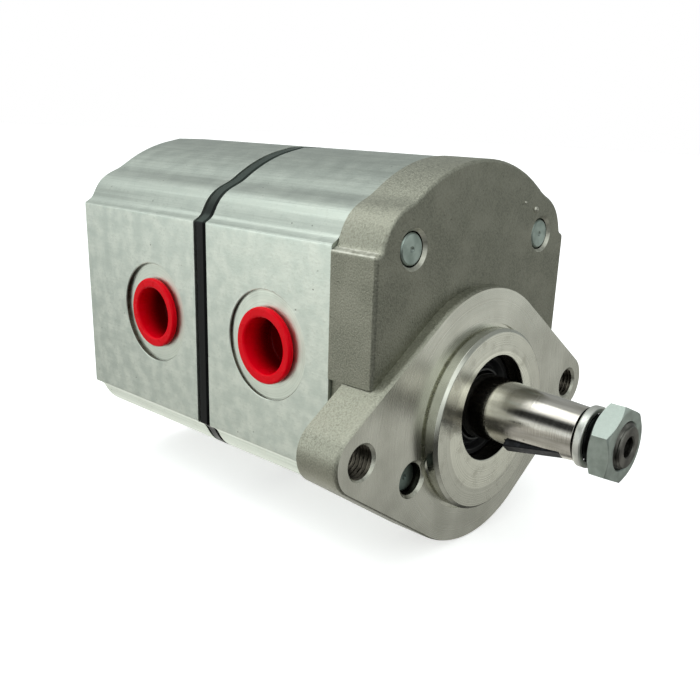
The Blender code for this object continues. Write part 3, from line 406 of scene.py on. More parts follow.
def gear_outline():
    """Involute teeth about (0, 0) with a tooth straight up."""
    base = PITCH_RADIUS * math.cos(PRESSURE_ANGLE)
    half = TOOTH_HALF_ANGLE + math.tan(PRESSURE_ANGLE) - PRESSURE_ANGLE
    flank = [(ROOT_RADIUS, half)]
    for step in range(FLANK_STEPS + 1):
        radius = base + (TIP_RADIUS - base) * step / FLANK_STEPS
        pressure = math.acos(base / radius)
        flank.append((radius, half - math.tan(pressure) + pressure))
    points = []
    for tooth in range(TOOTH_COUNT):
        middle = math.pi / 2 + 2 * math.pi * tooth / TOOTH_COUNT
        polar = [(radius, middle - angle) for radius, angle in flank]
        polar += [(radius, middle + angle) for radius, angle in reversed(flank)]
        points += [(radius * math.cos(angle), radius * math.sin(angle)) for radius, angle in polar]
    return points


def softened(points, radius, steps=3):
    """Rounds every inner corner of a line of points."""
    line = [Vector(point) for point in points]
    result = [points[0]]
    for before, corner, after in zip(line, line[1:], line[2:]):
        nearest = min((before - corner).length, (after - corner).length)
        reach = min(radius, CORNER_SHARE * nearest)
        start = corner + (before - corner).normalized() * reach
        end = corner + (after - corner).normalized() * reach
        for step in range(steps + 1):
            t = step / steps
            result.append(tuple(start * (1 - t) ** 2 + corner * (2 * t * (1 - t)) + end * t**2))
    return result + [points[-1]]


def softened_ring(profile, radius):
    """Rounds every corner of a closed profile."""
    return softened(profile + profile[:2], radius)[1:-1]


def mouth(face, inward, radius, chamfer):
    """Profile of a hole's countersunk mouth, from the axis outside the face to the hole's wall."""
    outside = face - inward * CUT_MARGIN
    return [(outside, 0), (outside, radius + chamfer + CUT_MARGIN), (face + inward * chamfer, radius)]


def skin(rings):
    """A closed solid from rings of as many points each, with both ends capped."""
    bm = bmesh.new()
    loops = [[bm.verts.new(point) for point in ring] for ring in rings]
    for loop, following in zip(loops, loops[1:]):
        for index in range(len(loop)):
            bm.faces.new((loop[index - 1], loop[index], following[index], following[index - 1]))
    bm.faces.new(loops[0])
    bm.faces.new(loops[-1])
    bmesh.ops.recalc_face_normals(bm, faces=bm.faces[:])
    return bm


def loft(sections):
    """Skins a row of (y, outline) sections."""
    return skin([[(x, y, z) for x, z in outline] for y, outline in sections])


def prism(outline, start, end):
    """An outline extruded along Y."""
    return loft([(start, outline), (end, outline)])


def edge_sections(outline, face, radius, inward, first=0.0):
    """Sections of a rounded edge, from the flat face inward. The milled face cuts the first angle off."""
    if not radius:
        return [(face, outline())]
    sections = []
    for step in range(EDGE_STEPS + 1):
        angle = first + (math.pi / 2 - first) * step / EDGE_STEPS
        depth = radius * (math.cos(first) - math.cos(angle))
        sections.append((face + inward * depth, outline(radius * (1 - math.sin(angle)))))
    return sections


def slab(outline, start, end, front=0.0, rear=0.0, first=0.0):
    """An outline extruded along Y with its front and rear edges rounded by these radii."""
    rear_edge = edge_sections(outline, end, rear, -1)
    return loft(edge_sections(outline, start, front, 1, first) + rear_edge[::-1])


def turned(profile, facets=ROUND_FACETS, ring=False):
    """Spins (y, radius) points about Y. A ring's profile is closed, and any other ends on the axis."""
    bm = bmesh.new()
    verts = [bm.verts.new((radius, y, 0)) for y, radius in profile]
    edges = [bm.edges.new(pair) for pair in zip(verts, verts[1:])]
    if ring:
        edges.append(bm.edges.new((verts[-1], verts[0])))
    about = {"cent": (0, 0, 0), "axis": (0, 1, 0), "angle": 2 * math.pi}
    bmesh.ops.spin(bm, geom=verts + edges, steps=facets, use_merge=True, **about)
    bmesh.ops.remove_doubles(bm, verts=bm.verts[:], dist=MERGE_DISTANCE)
    bmesh.ops.recalc_face_normals(bm, faces=bm.faces[:])
    return bm


def rod(start, end, radius, facets=HOLE_FACETS):
    """A plain cylinder along Y."""
    return turned([(start, 0), (start, radius), (end, radius), (end, 0)], facets)


def threaded_rod(start, end, thread, chamfer=None):
    """A rod along Y whose radius follows a helix of (minor radius, major radius, pitch)."""
    minor, major, pitch = thread
    rows = round((end - start) / pitch * THREAD_ROWS)
    rings = []
    for row in range(rows + 1):
        y = start + (end - start) * row / rows
        limit = major if chamfer is None else major - chamfer + y - start
        ring = []
        for facet in range(HOLE_FACETS):
            angle = 2 * math.pi * facet / HOLE_FACETS
            wave = 0.5 + 0.5 * math.cos(2 * math.pi * y / pitch - angle)
            radius = min(minor + (major - minor) * wave, limit)
            ring.append((radius * math.cos(angle), y, radius * math.sin(angle)))
        rings.append(ring)
    return skin(rings)


def block(low, high):
    """A box between two corners."""
    bm = bmesh.new()
    size = Vector(high) - Vector(low)
    middle = (Vector(high) + Vector(low)) / 2
    bmesh.ops.create_cube(bm, size=1.0, matrix=Matrix.Translation(middle) @ Matrix.Diagonal((*size, 1.0)))
    return bm


def moved(bm, matrix):
    """The same shape, carried by a matrix."""
    bmesh.ops.transform(bm, matrix=matrix, verts=bm.verts[:])
    return bm


def shifted(bm, x, z, y=0.0):
    """The same shape, moved sideways and up."""
    return moved(bm, Matrix.Translation((x, y, z)))


def on_shaft(bm):
    """The same shape, moved up to the shaft's axis."""
    return shifted(bm, 0, DRIVE_Z)


def linked(name, data):
    """A new object in the scene."""
    made = bpy.data.objects.new(name, data)
    bpy.context.scene.collection.objects.link(made)
    return made


def linked_mesh(name, bm):
    """A new object in the scene that takes over a shape."""
    mesh = bpy.data.meshes.new(name)
    bm.to_mesh(mesh)
    bm.free()
    return linked(name, mesh)


def combined(bm, tools, operation):
    """Applies the tools to a shape one after another and returns the result."""
    target = linked_mesh("helper", bm)
    helpers = [linked_mesh("helper", tool) for tool in tools]
    for helper in helpers:
        modifier = target.modifiers.new("combine", "BOOLEAN")
        modifier.operation = operation
        modifier.solver = "EXACT"
        modifier.object = helper
    evaluated = target.evaluated_get(bpy.context.evaluated_depsgraph_get())
    result = bmesh.new()
    result.from_mesh(evaluated.data)
    for helper in [target, *helpers]:
        bpy.data.objects.remove(helper, do_unlink=True)
    bmesh.ops.remove_doubles(result, verts=result.verts[:], dist=MERGE_DISTANCE)
    bmesh.ops.dissolve_limit(result, angle_limit=FLAT_ANGLE, verts=result.verts[:], edges=result.edges[:])
    return result


def cut(bm, tools):
    """Takes the tools out of a shape."""
    return combined(bm, tools, "DIFFERENCE")


def fused(bm, tools):
    """Joins the tools to a shape."""
    return combined(bm, tools, "UNION")


# Finishes


def tone(red, green, blue):
    """A colour given as it looks on screen, from 0 to 255, in linear light."""
    channels = (channel / 255 for channel in (red, green, blue))
    linear = [c / 12.92 if c <= 0.04045 else ((c + 0.055) / 1.055) ** 2.4 for c in channels]
    return (*linear, 1.0)


class Nodes:
    """A node tree that grows one call at a time."""

    def __init__(self, tree, coordinates):
        self.tree = tree
        source = tree.nodes.new("ShaderNodeTexCoord")
        self.place = source.outputs[coordinates]
        self.normal = source.outputs["Normal"]

    def add(self, kind, inputs, **settings):
        """Adds a node, sets its options and feeds its sockets with values or with other nodes' outputs."""
        node = self.tree.nodes.new("ShaderNode" + kind)
        for key, value in settings.items():
            setattr(node, key, value)
        for key, value in inputs.items():
            self.feed(node.inputs[key], value)
        return node

    def feed(self, socket, value):
        """Links an output to a socket, or sets the socket's own value."""
        if isinstance(value, bpy.types.NodeSocket):
            self.tree.links.new(value, socket)
        else:
            socket.default_value = value

    def math(self, operation, first, second=0.0):
        """One sum or comparison."""
        return self.add("Math", {0: first, 1: second}, operation=operation).outputs[0]

    def vector_math(self, operation, first, second=(0, 0, 0), output="Vector"):
        """One sum with vectors."""
        return self.add("VectorMath", {0: first, 1: second}, operation=operation).outputs[output]

    def part(self, vector, axis):
        """One coordinate of a vector."""
        return self.add("SeparateXYZ", {0: vector}).outputs[axis]

    def between(self, value, start, end, low=0.0, high=1.0):
        """Carries a value smoothly from one range to another."""
        inputs = {"Value": value, "From Min": start, "From Max": end, "To Min": low, "To Max": high}
        return self.add("MapRange", inputs, interpolation_type="SMOOTHSTEP").outputs["Result"]

    def mixed(self, factor, first, second):
        """One colour blended into another. Each is (red, green, blue) or another node's output."""
        node = self.add("Mix", {}, data_type="RGBA")
        self.feed(node.inputs["Factor"], factor)
        sockets = [socket for socket in node.inputs if socket.type == "RGBA"]
        for socket, colour in zip(sockets, (first, second)):
            self.feed(socket, tone(*colour) if isinstance(colour, tuple) else colour)
        return next(socket for socket in node.outputs if socket.type == "RGBA")


class Finish(Nodes):
    """A Principled material."""

    def __init__(self, name, metallic, specular=0.5):
        self.made = bpy.data.materials.new(f"{name}_look")
        self.made.use_nodes = True
        super().__init__(self.made.node_tree, "Object")
        self.shader = self.tree.nodes["Principled BSDF"]
        self.shader.inputs["Metallic"].default_value = metallic
        self.shader.inputs["Specular IOR Level"].default_value = specular

    def noise(self, size, stretch=(1, 1, 1), detail=3.0, place=None):
        """Cloudy noise with spots of about the size. A stretch under 1 draws them out along that axis."""
        stretched = self.vector_math("MULTIPLY", place or self.place, stretch)
        inputs = {"Vector": stretched, "Scale": 1 / size, "Detail": detail}
        return self.add("TexNoise", inputs).outputs["Fac"]

    def spots(self, size, share):
        """1 in small round spots that stand about a size apart and fill a share of it, elsewhere 0."""
        distance = self.add("TexVoronoi", {"Vector": self.place, "Scale": 1 / size}).outputs["Distance"]
        return self.between(distance, share, SPOT_CORE * share)

    def dips(self, spots):
        """A height that falls in the spots."""
        return self.math("SUBTRACT", 1.0, spots)

    def radius(self, centre, across):
        """Distance from an axis, given a point on it and the two directions across it."""
        offset = self.vector_math("SUBTRACT", self.place, centre)
        return self.vector_math("LENGTH", self.vector_math("MULTIPLY", offset, across), output="Value")

    def rings(self, centre, across, pitch):
        """Uneven tool marks round an axis."""
        line = self.add("CombineXYZ", {"X": self.radius(centre, across)}).outputs[0]
        return self.noise(pitch, detail=2.0, place=line)

    def facing(self, axis):
        """How squarely the surface faces along an axis, from -1 to 1."""
        return self.part(self.normal, axis)

    def raised(self, *layers):
        """Bumps the surface by (height, depth in metres) layers."""
        normal = None
        for height, depth in layers:
            inputs = {"Height": height, "Distance": depth}
            if normal:
                inputs["Normal"] = normal
            normal = self.add("Bump", inputs).outputs["Normal"]
        self.feed(self.shader.inputs["Normal"], normal)

    def spread(self, noise, low=0.0, high=1.0):
        """Carries the middle of a noise, where most of it lies, to a range."""
        return self.between(noise, *NOISE_MIDDLE, low, high)

    def clouded(self, noise, dark, pale):
        """Two colours that follow a noise."""
        return self.mixed(self.spread(noise), dark, pale)

    def stained(self, colour, stain, value, start, end, share=1.0):
        """A colour that takes up a share of a stain as a value goes from start to end."""
        return self.mixed(self.between(value, start, end, 0.0, share), colour, stain)

    def dotted(self, colour, dot, spots, share):
        """A colour with a share of another one in its spots."""
        return self.mixed(self.math("MULTIPLY", spots, share), colour, dot)

    def done(self, colour, noise, low, high):
        """Feeds the colour and a roughness that follows a noise, and returns the material."""
        self.feed(self.shader.inputs["Base Color"], colour)
        self.feed(self.shader.inputs["Roughness"], self.spread(noise, low, high))
        return self.made


def cast_aluminium():
    """Sand-grey casting with a fine grain, paler patches and small pits, and painted light: paler upper
    sides, darker lower ones.
    """
    finish = Finish("cast_aluminium", metallic=0.92)
    grain = finish.noise(0.00046, detail=4.0)
    pits = finish.spots(0.0034, 0.09)
    # Painted light: a shaded tone for the lower sides and a lit tone for the upper ones, blended by how far
    # the face turns up
    lower = finish.clouded(grain, (117, 117, 106), (148, 148, 134))
    upper = finish.clouded(grain, (148, 148, 134), (186, 186, 171))
    colour = finish.stained(lower, upper, finish.facing("Z"), 0.05, 0.5)
    colour = finish.stained(colour, (176, 174, 160), finish.noise(0.009), 0.35, 0.7, 0.25)
    colour = finish.dotted(colour, (104, 101, 90), pits, 0.45)
    finish.raised((grain, 0.00014), (finish.dips(pits), 0.00008))
    return finish.done(colour, grain, 0.40, 0.54)


def worn_aluminium():
    """Painted highlights on the casting's corners, pips, hole chamfers and ledge edges, in pale metal."""
    finish = Finish("worn_aluminium", metallic=0.9)
    blotches = finish.noise(0.0012)
    finish.raised((blotches, 0.00004))
    # Pale tones of the painted highlight
    return finish.done(finish.clouded(blotches, (182, 181, 168), (214, 213, 201)), blotches, 0.36, 0.48)


def extruded_aluminium():
    """Pale drawn aluminium: lines along it, most on the round stretches, mottling and dark specks."""
    finish = Finish("extruded_aluminium", metallic=0.9)
    lines = finish.noise(0.0006, stretch=(1, 0.012, 1))
    mottle = finish.noise(0.0045, detail=5.0)
    fine = finish.noise(0.0007, stretch=(1, 0.7, 1))
    specks = finish.spots(0.0052, 0.065)
    flat = finish.math("ABSOLUTE", finish.facing("X"))
    drawn = finish.between(flat, 0.95, 0.999, 0.34, 0.10)
    line_share = finish.math("MULTIPLY", finish.between(lines, 0.35, 0.65), drawn)
    colour = finish.clouded(mottle, (189, 197, 189), (212, 217, 208))
    colour = finish.stained(colour, (201, 208, 199), flat, 0.999, 0.95, 0.65)
    colour = finish.mixed(line_share, colour, (164, 171, 162))
    colour = finish.stained(colour, (180, 187, 178), fine, 0.5, 0.75, 0.5)
    colour = finish.dotted(colour, (96, 98, 92), specks, 0.6)
    colour = finish.dotted(colour, (120, 124, 116), finish.spots(0.0019, 0.07), 0.25)
    finish.raised((line_share, 0.00002), (fine, 0.00004), (finish.dips(specks), 0.00005))
    return finish.done(colour, mottle, 0.35, 0.41)


def milled_aluminium():
    """Machined faces: satin, with faint arcs of the cutter and soft clouds."""
    finish = Finish("milled_aluminium", metallic=1.0)
    arcs = finish.rings((0, 0, 0), (1, 0, 1), 0.00035)
    scuffs = finish.noise(0.0011, stretch=(1, 1, 0.35))
    colour = finish.clouded(finish.noise(0.012, detail=2.0), (190, 190, 180), (210, 210, 200))
    colour = finish.stained(colour, (172, 172, 162), scuffs, 0.55, 0.8, 0.25)
    finish.raised((arcs, 0.00002), (scuffs, 0.000015))
    return finish.done(colour, arcs, 0.24, 0.34)


def turned_aluminium():
    """The spigot: turned rings, a greyer outer band and a paler inner one."""
    finish = Finish("turned_aluminium", metallic=1.0)
    rings = finish.rings((0, 0, 0), (1, 0, 1), 0.0003)
    turns = finish.noise(0.0004, stretch=(0, 1, 0), detail=2.0)
    patches = finish.noise(0.004)
    reach = finish.radius((0, 0, 0), (1, 0, 1))
    band = (SPIGOT_TONE_RADIUS - SPIGOT_TONE_BLEND, SPIGOT_TONE_RADIUS + SPIGOT_TONE_BLEND)
    colour = finish.stained((238, 238, 225), (214, 214, 203), reach, *band)
    colour = finish.stained(colour, (174, 174, 163), rings, 0.4, 0.65, 0.4)
    colour = finish.stained(colour, (163, 159, 143), patches, 0.55, 0.75, 0.35)
    finish.raised((rings, 0.00004), (turns, 0.00003))
    return finish.done(colour, patches, 0.18, 0.30)


def spot_faced_aluminium(section):
    """The bright ring that the spot facer leaves round a section's ports."""
    finish = Finish(f"{section}_spot_face", metallic=1.0)
    rings = finish.rings((0, port_middle(section), MID_Z), (0, 1, 1), 0.0003)
    colour = finish.stained((214, 220, 210), (194, 200, 190), rings, 0.35, 0.65)
    finish.raised((rings, 0.00003))
    return finish.done(colour, finish.noise(0.003, detail=2.0), 0.34, 0.46)


def drilled_aluminium():
    """Bores, threads and hole walls: dark metal, a painted shade, with marks across the bore."""
    finish = Finish("drilled_aluminium", metallic=1.0)
    marks = finish.noise(0.0004, stretch=(0.2, 1, 0.2), detail=2.0)
    # Painted shade: dark tones for the insides of bores and holes
    colour = finish.stained((98, 93, 84), (66, 62, 55), finish.noise(0.002), 0.35, 0.7)
    finish.raised((marks, 0.00004))
    return finish.done(colour, marks, 0.24, 0.40)


def black_plate():
    """Blackened plate with rubbed spots and a painted grey-green sheen where it faces up."""
    finish = Finish("black_plate", metallic=0.0, specular=0.15)
    blotches = finish.noise(0.0030, detail=4.0)
    colour = finish.stained((6, 8, 9), (16, 19, 19), blotches, 0.45, 0.75)
    # Painted sheen: grey-green on the upward faces in place of the sky's reflection
    colour = finish.stained(colour, (66, 77, 71), finish.facing("Z"), 0.2, 0.9, 0.8)
    finish.raised((finish.noise(0.0004, detail=2.0), 0.00004))
    return finish.done(colour, blotches, 0.34, 0.46)


def ground_steel():
    """Ground shaft: fine lines round it, a warm grey and small nicks."""
    finish = Finish("ground_steel", metallic=1.0)
    lines = finish.noise(0.00025, stretch=(0.02, 1, 0.02))
    along = finish.noise(0.0016, stretch=(1, 0.15, 1))
    nicks = finish.spots(0.0075, 0.04)
    colour = finish.stained((224, 219, 211), (202, 197, 187), along, 0.35, 0.7)
    colour = finish.dotted(colour, (105, 100, 92), nicks, 0.5)
    finish.raised((lines, 0.00001), (finish.dips(nicks), 0.00003))
    return finish.done(colour, lines, 0.10, 0.16)


def plain_metal(name, dark, pale, low, high):
    """Machined metal in two close tones, for bolts, threads, a washer and the inner parts."""
    finish = Finish(name, metallic=1.0)
    lines = finish.noise(0.0004, stretch=(0.1, 1, 0.1), detail=2.0)
    finish.raised((lines, 0.00002))
    return finish.done(finish.clouded(finish.noise(0.003), dark, pale), lines, low, high)


def zinc_steel():
    """Zinc-plated fasteners: pale blue-grey, cloudy, with a soft shine."""
    finish = Finish("zinc_steel", metallic=0.9)
    clouds = finish.noise(0.0022, detail=4.0)
    fine = finish.noise(0.0003, detail=2.0)
    colour = finish.clouded(clouds, (162, 172, 165), (184, 194, 187))
    colour = finish.stained(colour, (150, 158, 156), fine, 0.6, 0.8, 0.3)
    finish.raised((fine, 0.00003))
    return finish.done(colour, clouds, 0.30, 0.44)


def black_steel():
    """The blackened key."""
    finish = Finish("black_steel", metallic=0.6)
    blotches = finish.noise(0.0012)
    finish.raised((blotches, 0.00003))
    return finish.done(finish.stained((30, 31, 36), (58, 60, 66), blotches, 0.45, 0.75), blotches, 0.32, 0.48)


def black_rubber():
    """Seal rubber with a faint moulded grain."""
    finish = Finish("black_rubber", metallic=0.0)
    grain = finish.noise(0.0005)
    colour = finish.stained((22, 23, 25), (48, 49, 50), finish.noise(0.003), 0.5, 0.8)
    finish.raised((grain, 0.00004))
    return finish.done(colour, grain, 0.36, 0.52)


def red_plastic():
    """Glossy red plastic with faint flow marks, and painted shade that darkens the red down in the cup."""
    finish = Finish("red_plastic", metallic=0.0, specular=0.08)
    flow = finish.noise(0.005, detail=2.0)
    out = finish.math("ABSOLUTE", finish.part(finish.place, "X"))
    colour = finish.clouded(flow, (242, 0, 24), (250, 2, 30))
    # Painted shade: the red darkens from the rim towards the floor of the cup
    colour = finish.stained(colour, (104, 0, 2), out, HALF_WIDTH, HALF_WIDTH - PLUG_SHADE_DEPTH)
    finish.raised((finish.noise(0.0004, detail=2.0), 0.000015))
    return finish.done(colour, flow, 0.22, 0.32)


# Two tones and the range of the roughness
PLAIN_METALS = {
    "gear_steel": ((150, 150, 150), (176, 176, 176), 0.22, 0.36),
    "thread_steel": ((92, 90, 86), (134, 132, 126), 0.30, 0.46),
    # Painted shade: nearly black thread in the gap behind the nut
    "dark_thread": ((34, 36, 36), (50, 52, 52), 0.40, 0.55),
    "washer_steel": ((214, 216, 210), (238, 238, 232), 0.36, 0.50),
    "bolt_steel": ((136, 148, 141), (164, 176, 169), 0.34, 0.48),
    # Painted shade: a darker steel for the lower bolts, whose ends sit deeper in their holes
    "painted_shade_bolt_steel": ((88, 101, 97), (110, 123, 118), 0.26, 0.40),
    "bearing_alloy": ((188, 190, 192), (208, 210, 212), 0.32, 0.46),
    "bush_bronze": ((168, 142, 106), (190, 162, 122), 0.30, 0.44),
}
MAKERS = [cast_aluminium, worn_aluminium, extruded_aluminium, milled_aluminium, turned_aluminium]
MAKERS += [drilled_aluminium, black_plate, ground_steel, zinc_steel, black_steel, black_rubber, red_plastic]
FINISHES = {name: plain_metal(name, *look) for name, look in PLAIN_METALS.items()}
FINISHES.update({f"{section}_spot_face": spot_faced_aluminium(section) for section in BODIES})
FINISHES.update({make.__name__: make() for make in MAKERS})


def add_piece(node, bm, finishes, body="housing", choose=None):
    """Adds a fine piece that stands for a node and rides on its body. choose picks a finish by the face."""
    made = linked_mesh(f"{node}_fine", bm)
    mesh = made.data
    for finish in finishes:
        mesh.materials.append(FINISHES[finish])
    if choose:
        for polygon in mesh.polygons:
            polygon.material_index = finishes.index(choose(polygon.center, polygon.normal))
    mesh.shade_smooth()
    mesh.set_sharp_from_angle(angle=SHARP_ANGLE)
    shading = made.modifiers.new("even_shading", "WEIGHTED_NORMAL")
    shading.keep_sharp = True
    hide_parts(node)
    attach(made, body)


# Housing


def near_axis(point, centre, radius):
    """Whether a point lies within a radius of an axis along Y."""
    return math.hypot(point.x - centre[0], point.z - centre[1]) < radius


def dowel_tools(start, end):
    """Tools for the two dowel holes of a joint."""
    return [shifted(rod(start, end, DOWEL_HOLE_RADIUS, HOLE_FACETS // 2), x, z) for x, z in DOWEL_PLACES]


def bolt_hole_tools(start, end):
    """Tools for the four bolt holes of a body, plate or cover."""
    ends = (start - CUT_MARGIN, end + CUT_MARGIN)
    return [shifted(rod(*ends, BOLT_HOLE_RADIUS), x, z) for x, z in BOLT_PLACES]


def cover_holes():
    """Place, face, radius and mouth chamfer of the bolt holes and tapped holes in the front cover."""
    holes = []
    for x, z in BOLT_PLACES:
        face = COVER_SETBACK if z > MID_Z else 0.0
        holes.append(((x, z), face, BOLT_HOLE_RADIUS, BOLT_HOLE_CHAMFER))
    return holes + [((x, 0.0), 0.0, MOUNT_THREAD[0], MOUNT_CHAMFER) for x in MOUNT_PLACES]


def countersink(face, radius, chamfer):
    """A cone that breaks the mouth of a hole in a face towards -Y."""
    return turned(mouth(face, 1, radius, chamfer) + [(face + chamfer, 0)], HOLE_FACETS)


def side_reliefs():
    """Boxes that set the cover's lower sides back above the flange's ears."""
    tangent = flange_tangent()
    shoulder = (FLANGE_RADIUS - HALF_WIDTH * math.cos(tangent)) / math.sin(tangent)
    made = []
    for side in (-1, 1):
        inner, outer = sorted((side * (HALF_WIDTH - COVER_RELIEF), side * (HALF_WIDTH + CUT_MARGIN)))
        low = (inner, COVER_SETBACK - CUT_MARGIN, MID_Z - HALF_HEIGHT)
        made.append(block(low, (outer, COVER_REAR + CUT_MARGIN, shoulder)))
    return made


def spigot():
    """The pilot spigot with its chamfer, long enough to sit in the flange."""
    root = FLANGE_THICKNESS / 2
    profile = [
        (root, 0),
        (root, SPIGOT_RADIUS),
        (SPIGOT_CHAMFER - SPIGOT_HEIGHT, SPIGOT_RADIUS),
        (-SPIGOT_HEIGHT, SPIGOT_RADIUS - SPIGOT_CHAMFER),
        (-SPIGOT_HEIGHT, 0),
    ]
    return turned(softened(profile, FINE_EDGE), SPIGOT_FACETS)


def spigot_groove():
    """The undercut round the foot of the spigot."""
    inner, outer = SPIGOT_RADIUS, SPIGOT_RADIUS + SPIGOT_RELIEF_WIDTH
    start, end = -CUT_MARGIN, SPIGOT_RELIEF_DEPTH
    return turned([(start, inner), (end, inner), (end, outer), (start, outer)], SPIGOT_FACETS, ring=True)


def seal_bore():
    """The stepped bore for the seal and the shaft."""
    profile = mouth(-SPIGOT_HEIGHT, 1, SEAL_BORE_RADIUS, SEAL_BORE_CHAMFER) + [
        (SEAL_BORE_DEPTH, SEAL_BORE_RADIUS),
        (SEAL_BORE_DEPTH, JOURNAL_BORE),
        (COVER_REAR + CUT_MARGIN, JOURNAL_BORE),
        (COVER_REAR + CUT_MARGIN, 0),
    ]
    return on_shaft(turned(profile, SPIGOT_FACETS))


def pip(x, z, radius):
    """A small dome that the mould leaves on the cover's face."""
    tip, root = COVER_SETBACK - PIP_RISE * radius, COVER_SETBACK + radius
    profile = [(tip + radius * (1 - math.cos(angle)), radius * math.sin(angle)) for angle in PIP_ANGLES]
    return shifted(turned(profile + [(root, radius), (root, 0)], SMALL_FACETS), x, z)


def front_cover():
    """Flange, spigot and cast cover in one, with the seal bore, tapped holes and bolt holes."""
    cover = cut(slab(cover_outline, COVER_SETBACK, COVER_REAR, front=COVER_EDGE), side_reliefs())
    flange = slab(flange_outline, 0.0, FLANGE_THICKNESS, front=FLANGE_EDGE, first=FLANGE_EDGE_START)
    flange = cut(flange, [spigot_groove()])
    whole = fused(cover, [flange, spigot(), *[pip(*place) for place in PIPS]])
    tools = [seal_bore(), *bolt_hole_tools(0.0, COVER_REAR)]
    for x in MOUNT_PLACES:
        tools.append(shifted(threaded_rod(-CUT_MARGIN, FLANGE_THICKNESS + CUT_MARGIN, MOUNT_THREAD), x, 0))
    for place, face, radius, chamfer in cover_holes():
        tools.append(shifted(countersink(face, radius, chamfer), *place))
    tools += dowel_tools(COVER_REAR - DOWEL_HOLE_DEPTH, COVER_REAR + CUT_MARGIN)
    return cut(whole, tools)


def cover_finish(centre, normal):
    """Turned spigot, milled faces, painted shade in bores, painted highlights on chamfers, corners and pips,
    cast skin.
    """
    if near_axis(centre, (0, DRIVE_Z), SEAL_BORE_RADIUS + HOLE_CHAMFER):
        # Painted shade on the seal bore's wall
        return "drilled_aluminium" if abs(normal.y) < WALL else "turned_aluminium"
    flat = abs(normal.y) > 1 - NEAR
    if flat and (abs(centre.y) < NEAR or centre.y > COVER_REAR - NEAR):
        return "milled_aluminium"
    for place, face, radius, chamfer in cover_holes():
        if not flat and near_axis(centre, place, radius + chamfer):
            # Painted highlight on a hole's chamfer, painted shade on its wall
            return "worn_aluminium" if centre.y < face + chamfer else "drilled_aluminium"
    if any(near_axis(centre, (x, z), radius) for x, z, radius in PIPS) and centre.y < COVER_SETBACK:
        # Painted highlight on the pips
        return "worn_aluminium"
    foot = SPIGOT_RADIUS + SPIGOT_RELIEF_WIDTH + NEAR
    if centre.y < FLANGE_THICKNESS / 2 and near_axis(centre, (0, 0), foot):
        return "turned_aluminium"
    at_ledge = abs(abs(centre.z - MID_Z) - COVER_LEDGE[0]) < COVER_EDGE
    turning = LEDGE_TURN[0] < abs(normal.x) < LEDGE_TURN[1] and abs(normal.y) < NEAR
    # Painted highlight where the ledge turns into the side
    return "worn_aluminium" if at_ledge and turning else "cast_aluminium"


def to_side(bm, side, port_y):
    """Carries a shape turned about Y to a port, with +Y pointing out of that side."""
    turn = Matrix.Rotation(-side * math.pi / 2, 4, "Z")
    return moved(bm, Matrix.Translation((side * HALF_WIDTH, port_y, MID_Z)) @ turn)


def port_tool(spot_radius, bore_radius, spot_depth, passage):
    """A tool for one port: spot face with a broken edge, bore and a passage into the chamber."""
    inner = PASSAGE_END - HALF_WIDTH
    profile = mouth(0.0, -1, spot_radius, SPOT_EDGE) + [
        (-spot_depth, spot_radius),
        (-spot_depth, bore_radius),
        (-PORT_DEPTH, bore_radius),
        (-PORT_DEPTH - bore_radius + passage, passage),
        (inner, passage),
        (inner, 0),
    ]
    return turned(profile)


def groove_tool(face, inward):
    """A tool for the seal groove in one end face of a body: a ring with straight sides."""
    start, end = sorted((face - inward * CUT_MARGIN, face + inward * GROOVE_DEPTH))
    core = prism(racetrack(GROOVE_INNER_RADIUS), start - CUT_MARGIN, end + CUT_MARGIN)
    return cut(prism(racetrack(GROOVE_OUTER_RADIUS), start, end), [core])


def pump_body(section, rear_edge):
    """One extruded body: chambers, bolt holes, two ports, seal grooves and dowel holes."""
    start, end = BODIES[section]
    bm = slab(section_outline, start, end, front=BODY_EDGE, rear=rear_edge)
    tools = [prism(figure_eight(CHAMBER_RADIUS), start - CUT_MARGIN, end + CUT_MARGIN)]
    tools += bolt_hole_tools(start, end)
    for side, spot_radius, bore_radius in PORTS.values():
        tool = port_tool(spot_radius, bore_radius, SPOT_DEPTH[section], PASSAGE_RADIUS[section])
        tools.append(to_side(tool, side, port_middle(section)))
    tools += [groove_tool(start, 1), groove_tool(end, -1)]
    tools += dowel_tools(start - CUT_MARGIN, start + DOWEL_HOLE_DEPTH)
    tools += dowel_tools(end - DOWEL_HOLE_DEPTH, end + CUT_MARGIN)
    return cut(bm, tools)


def body_finish(section):
    """Spot faces round the ports, painted shade on their walls and in the bores, and the drawn skin."""
    port_y = port_middle(section)

    def choose(centre, normal):
        reach = math.hypot(centre.y - port_y, centre.z - MID_Z)
        for side, spot_radius, bore_radius in PORTS.values():
            deep = HALF_WIDTH - side * centre.x
            # Painted shade in the port's bore and on the spot face's wall
            if deep < PORT_DEPTH and reach < bore_radius + NEAR and deep > SPOT_DEPTH[section] + NEAR:
                return "drilled_aluminium"
            if NEAR < deep < SPOT_DEPTH[section] + NEAR and reach < spot_radius + SPOT_EDGE:
                return "drilled_aluminium" if abs(normal.x) < WALL else f"{section}_spot_face"
        return "extruded_aluminium"

    return choose


def intermediate_plate():
    """The chamfered plate between the sections, with the coupling's bore."""
    start, end = PLATE
    sections = [
        (start, section_outline(PLATE_CHAMFER)),
        (start + PLATE_CHAMFER, section_outline()),
        (end - PLATE_CHAMFER, section_outline()),
        (end, section_outline(PLATE_CHAMFER)),
    ]
    bore = on_shaft(rod(start - CUT_MARGIN, end + CUT_MARGIN, JOURNAL_BORE))
    tools = bolt_hole_tools(start, end) + dowel_tools(start - CUT_MARGIN, end + CUT_MARGIN)
    return cut(loft(sections), [bore, *tools])


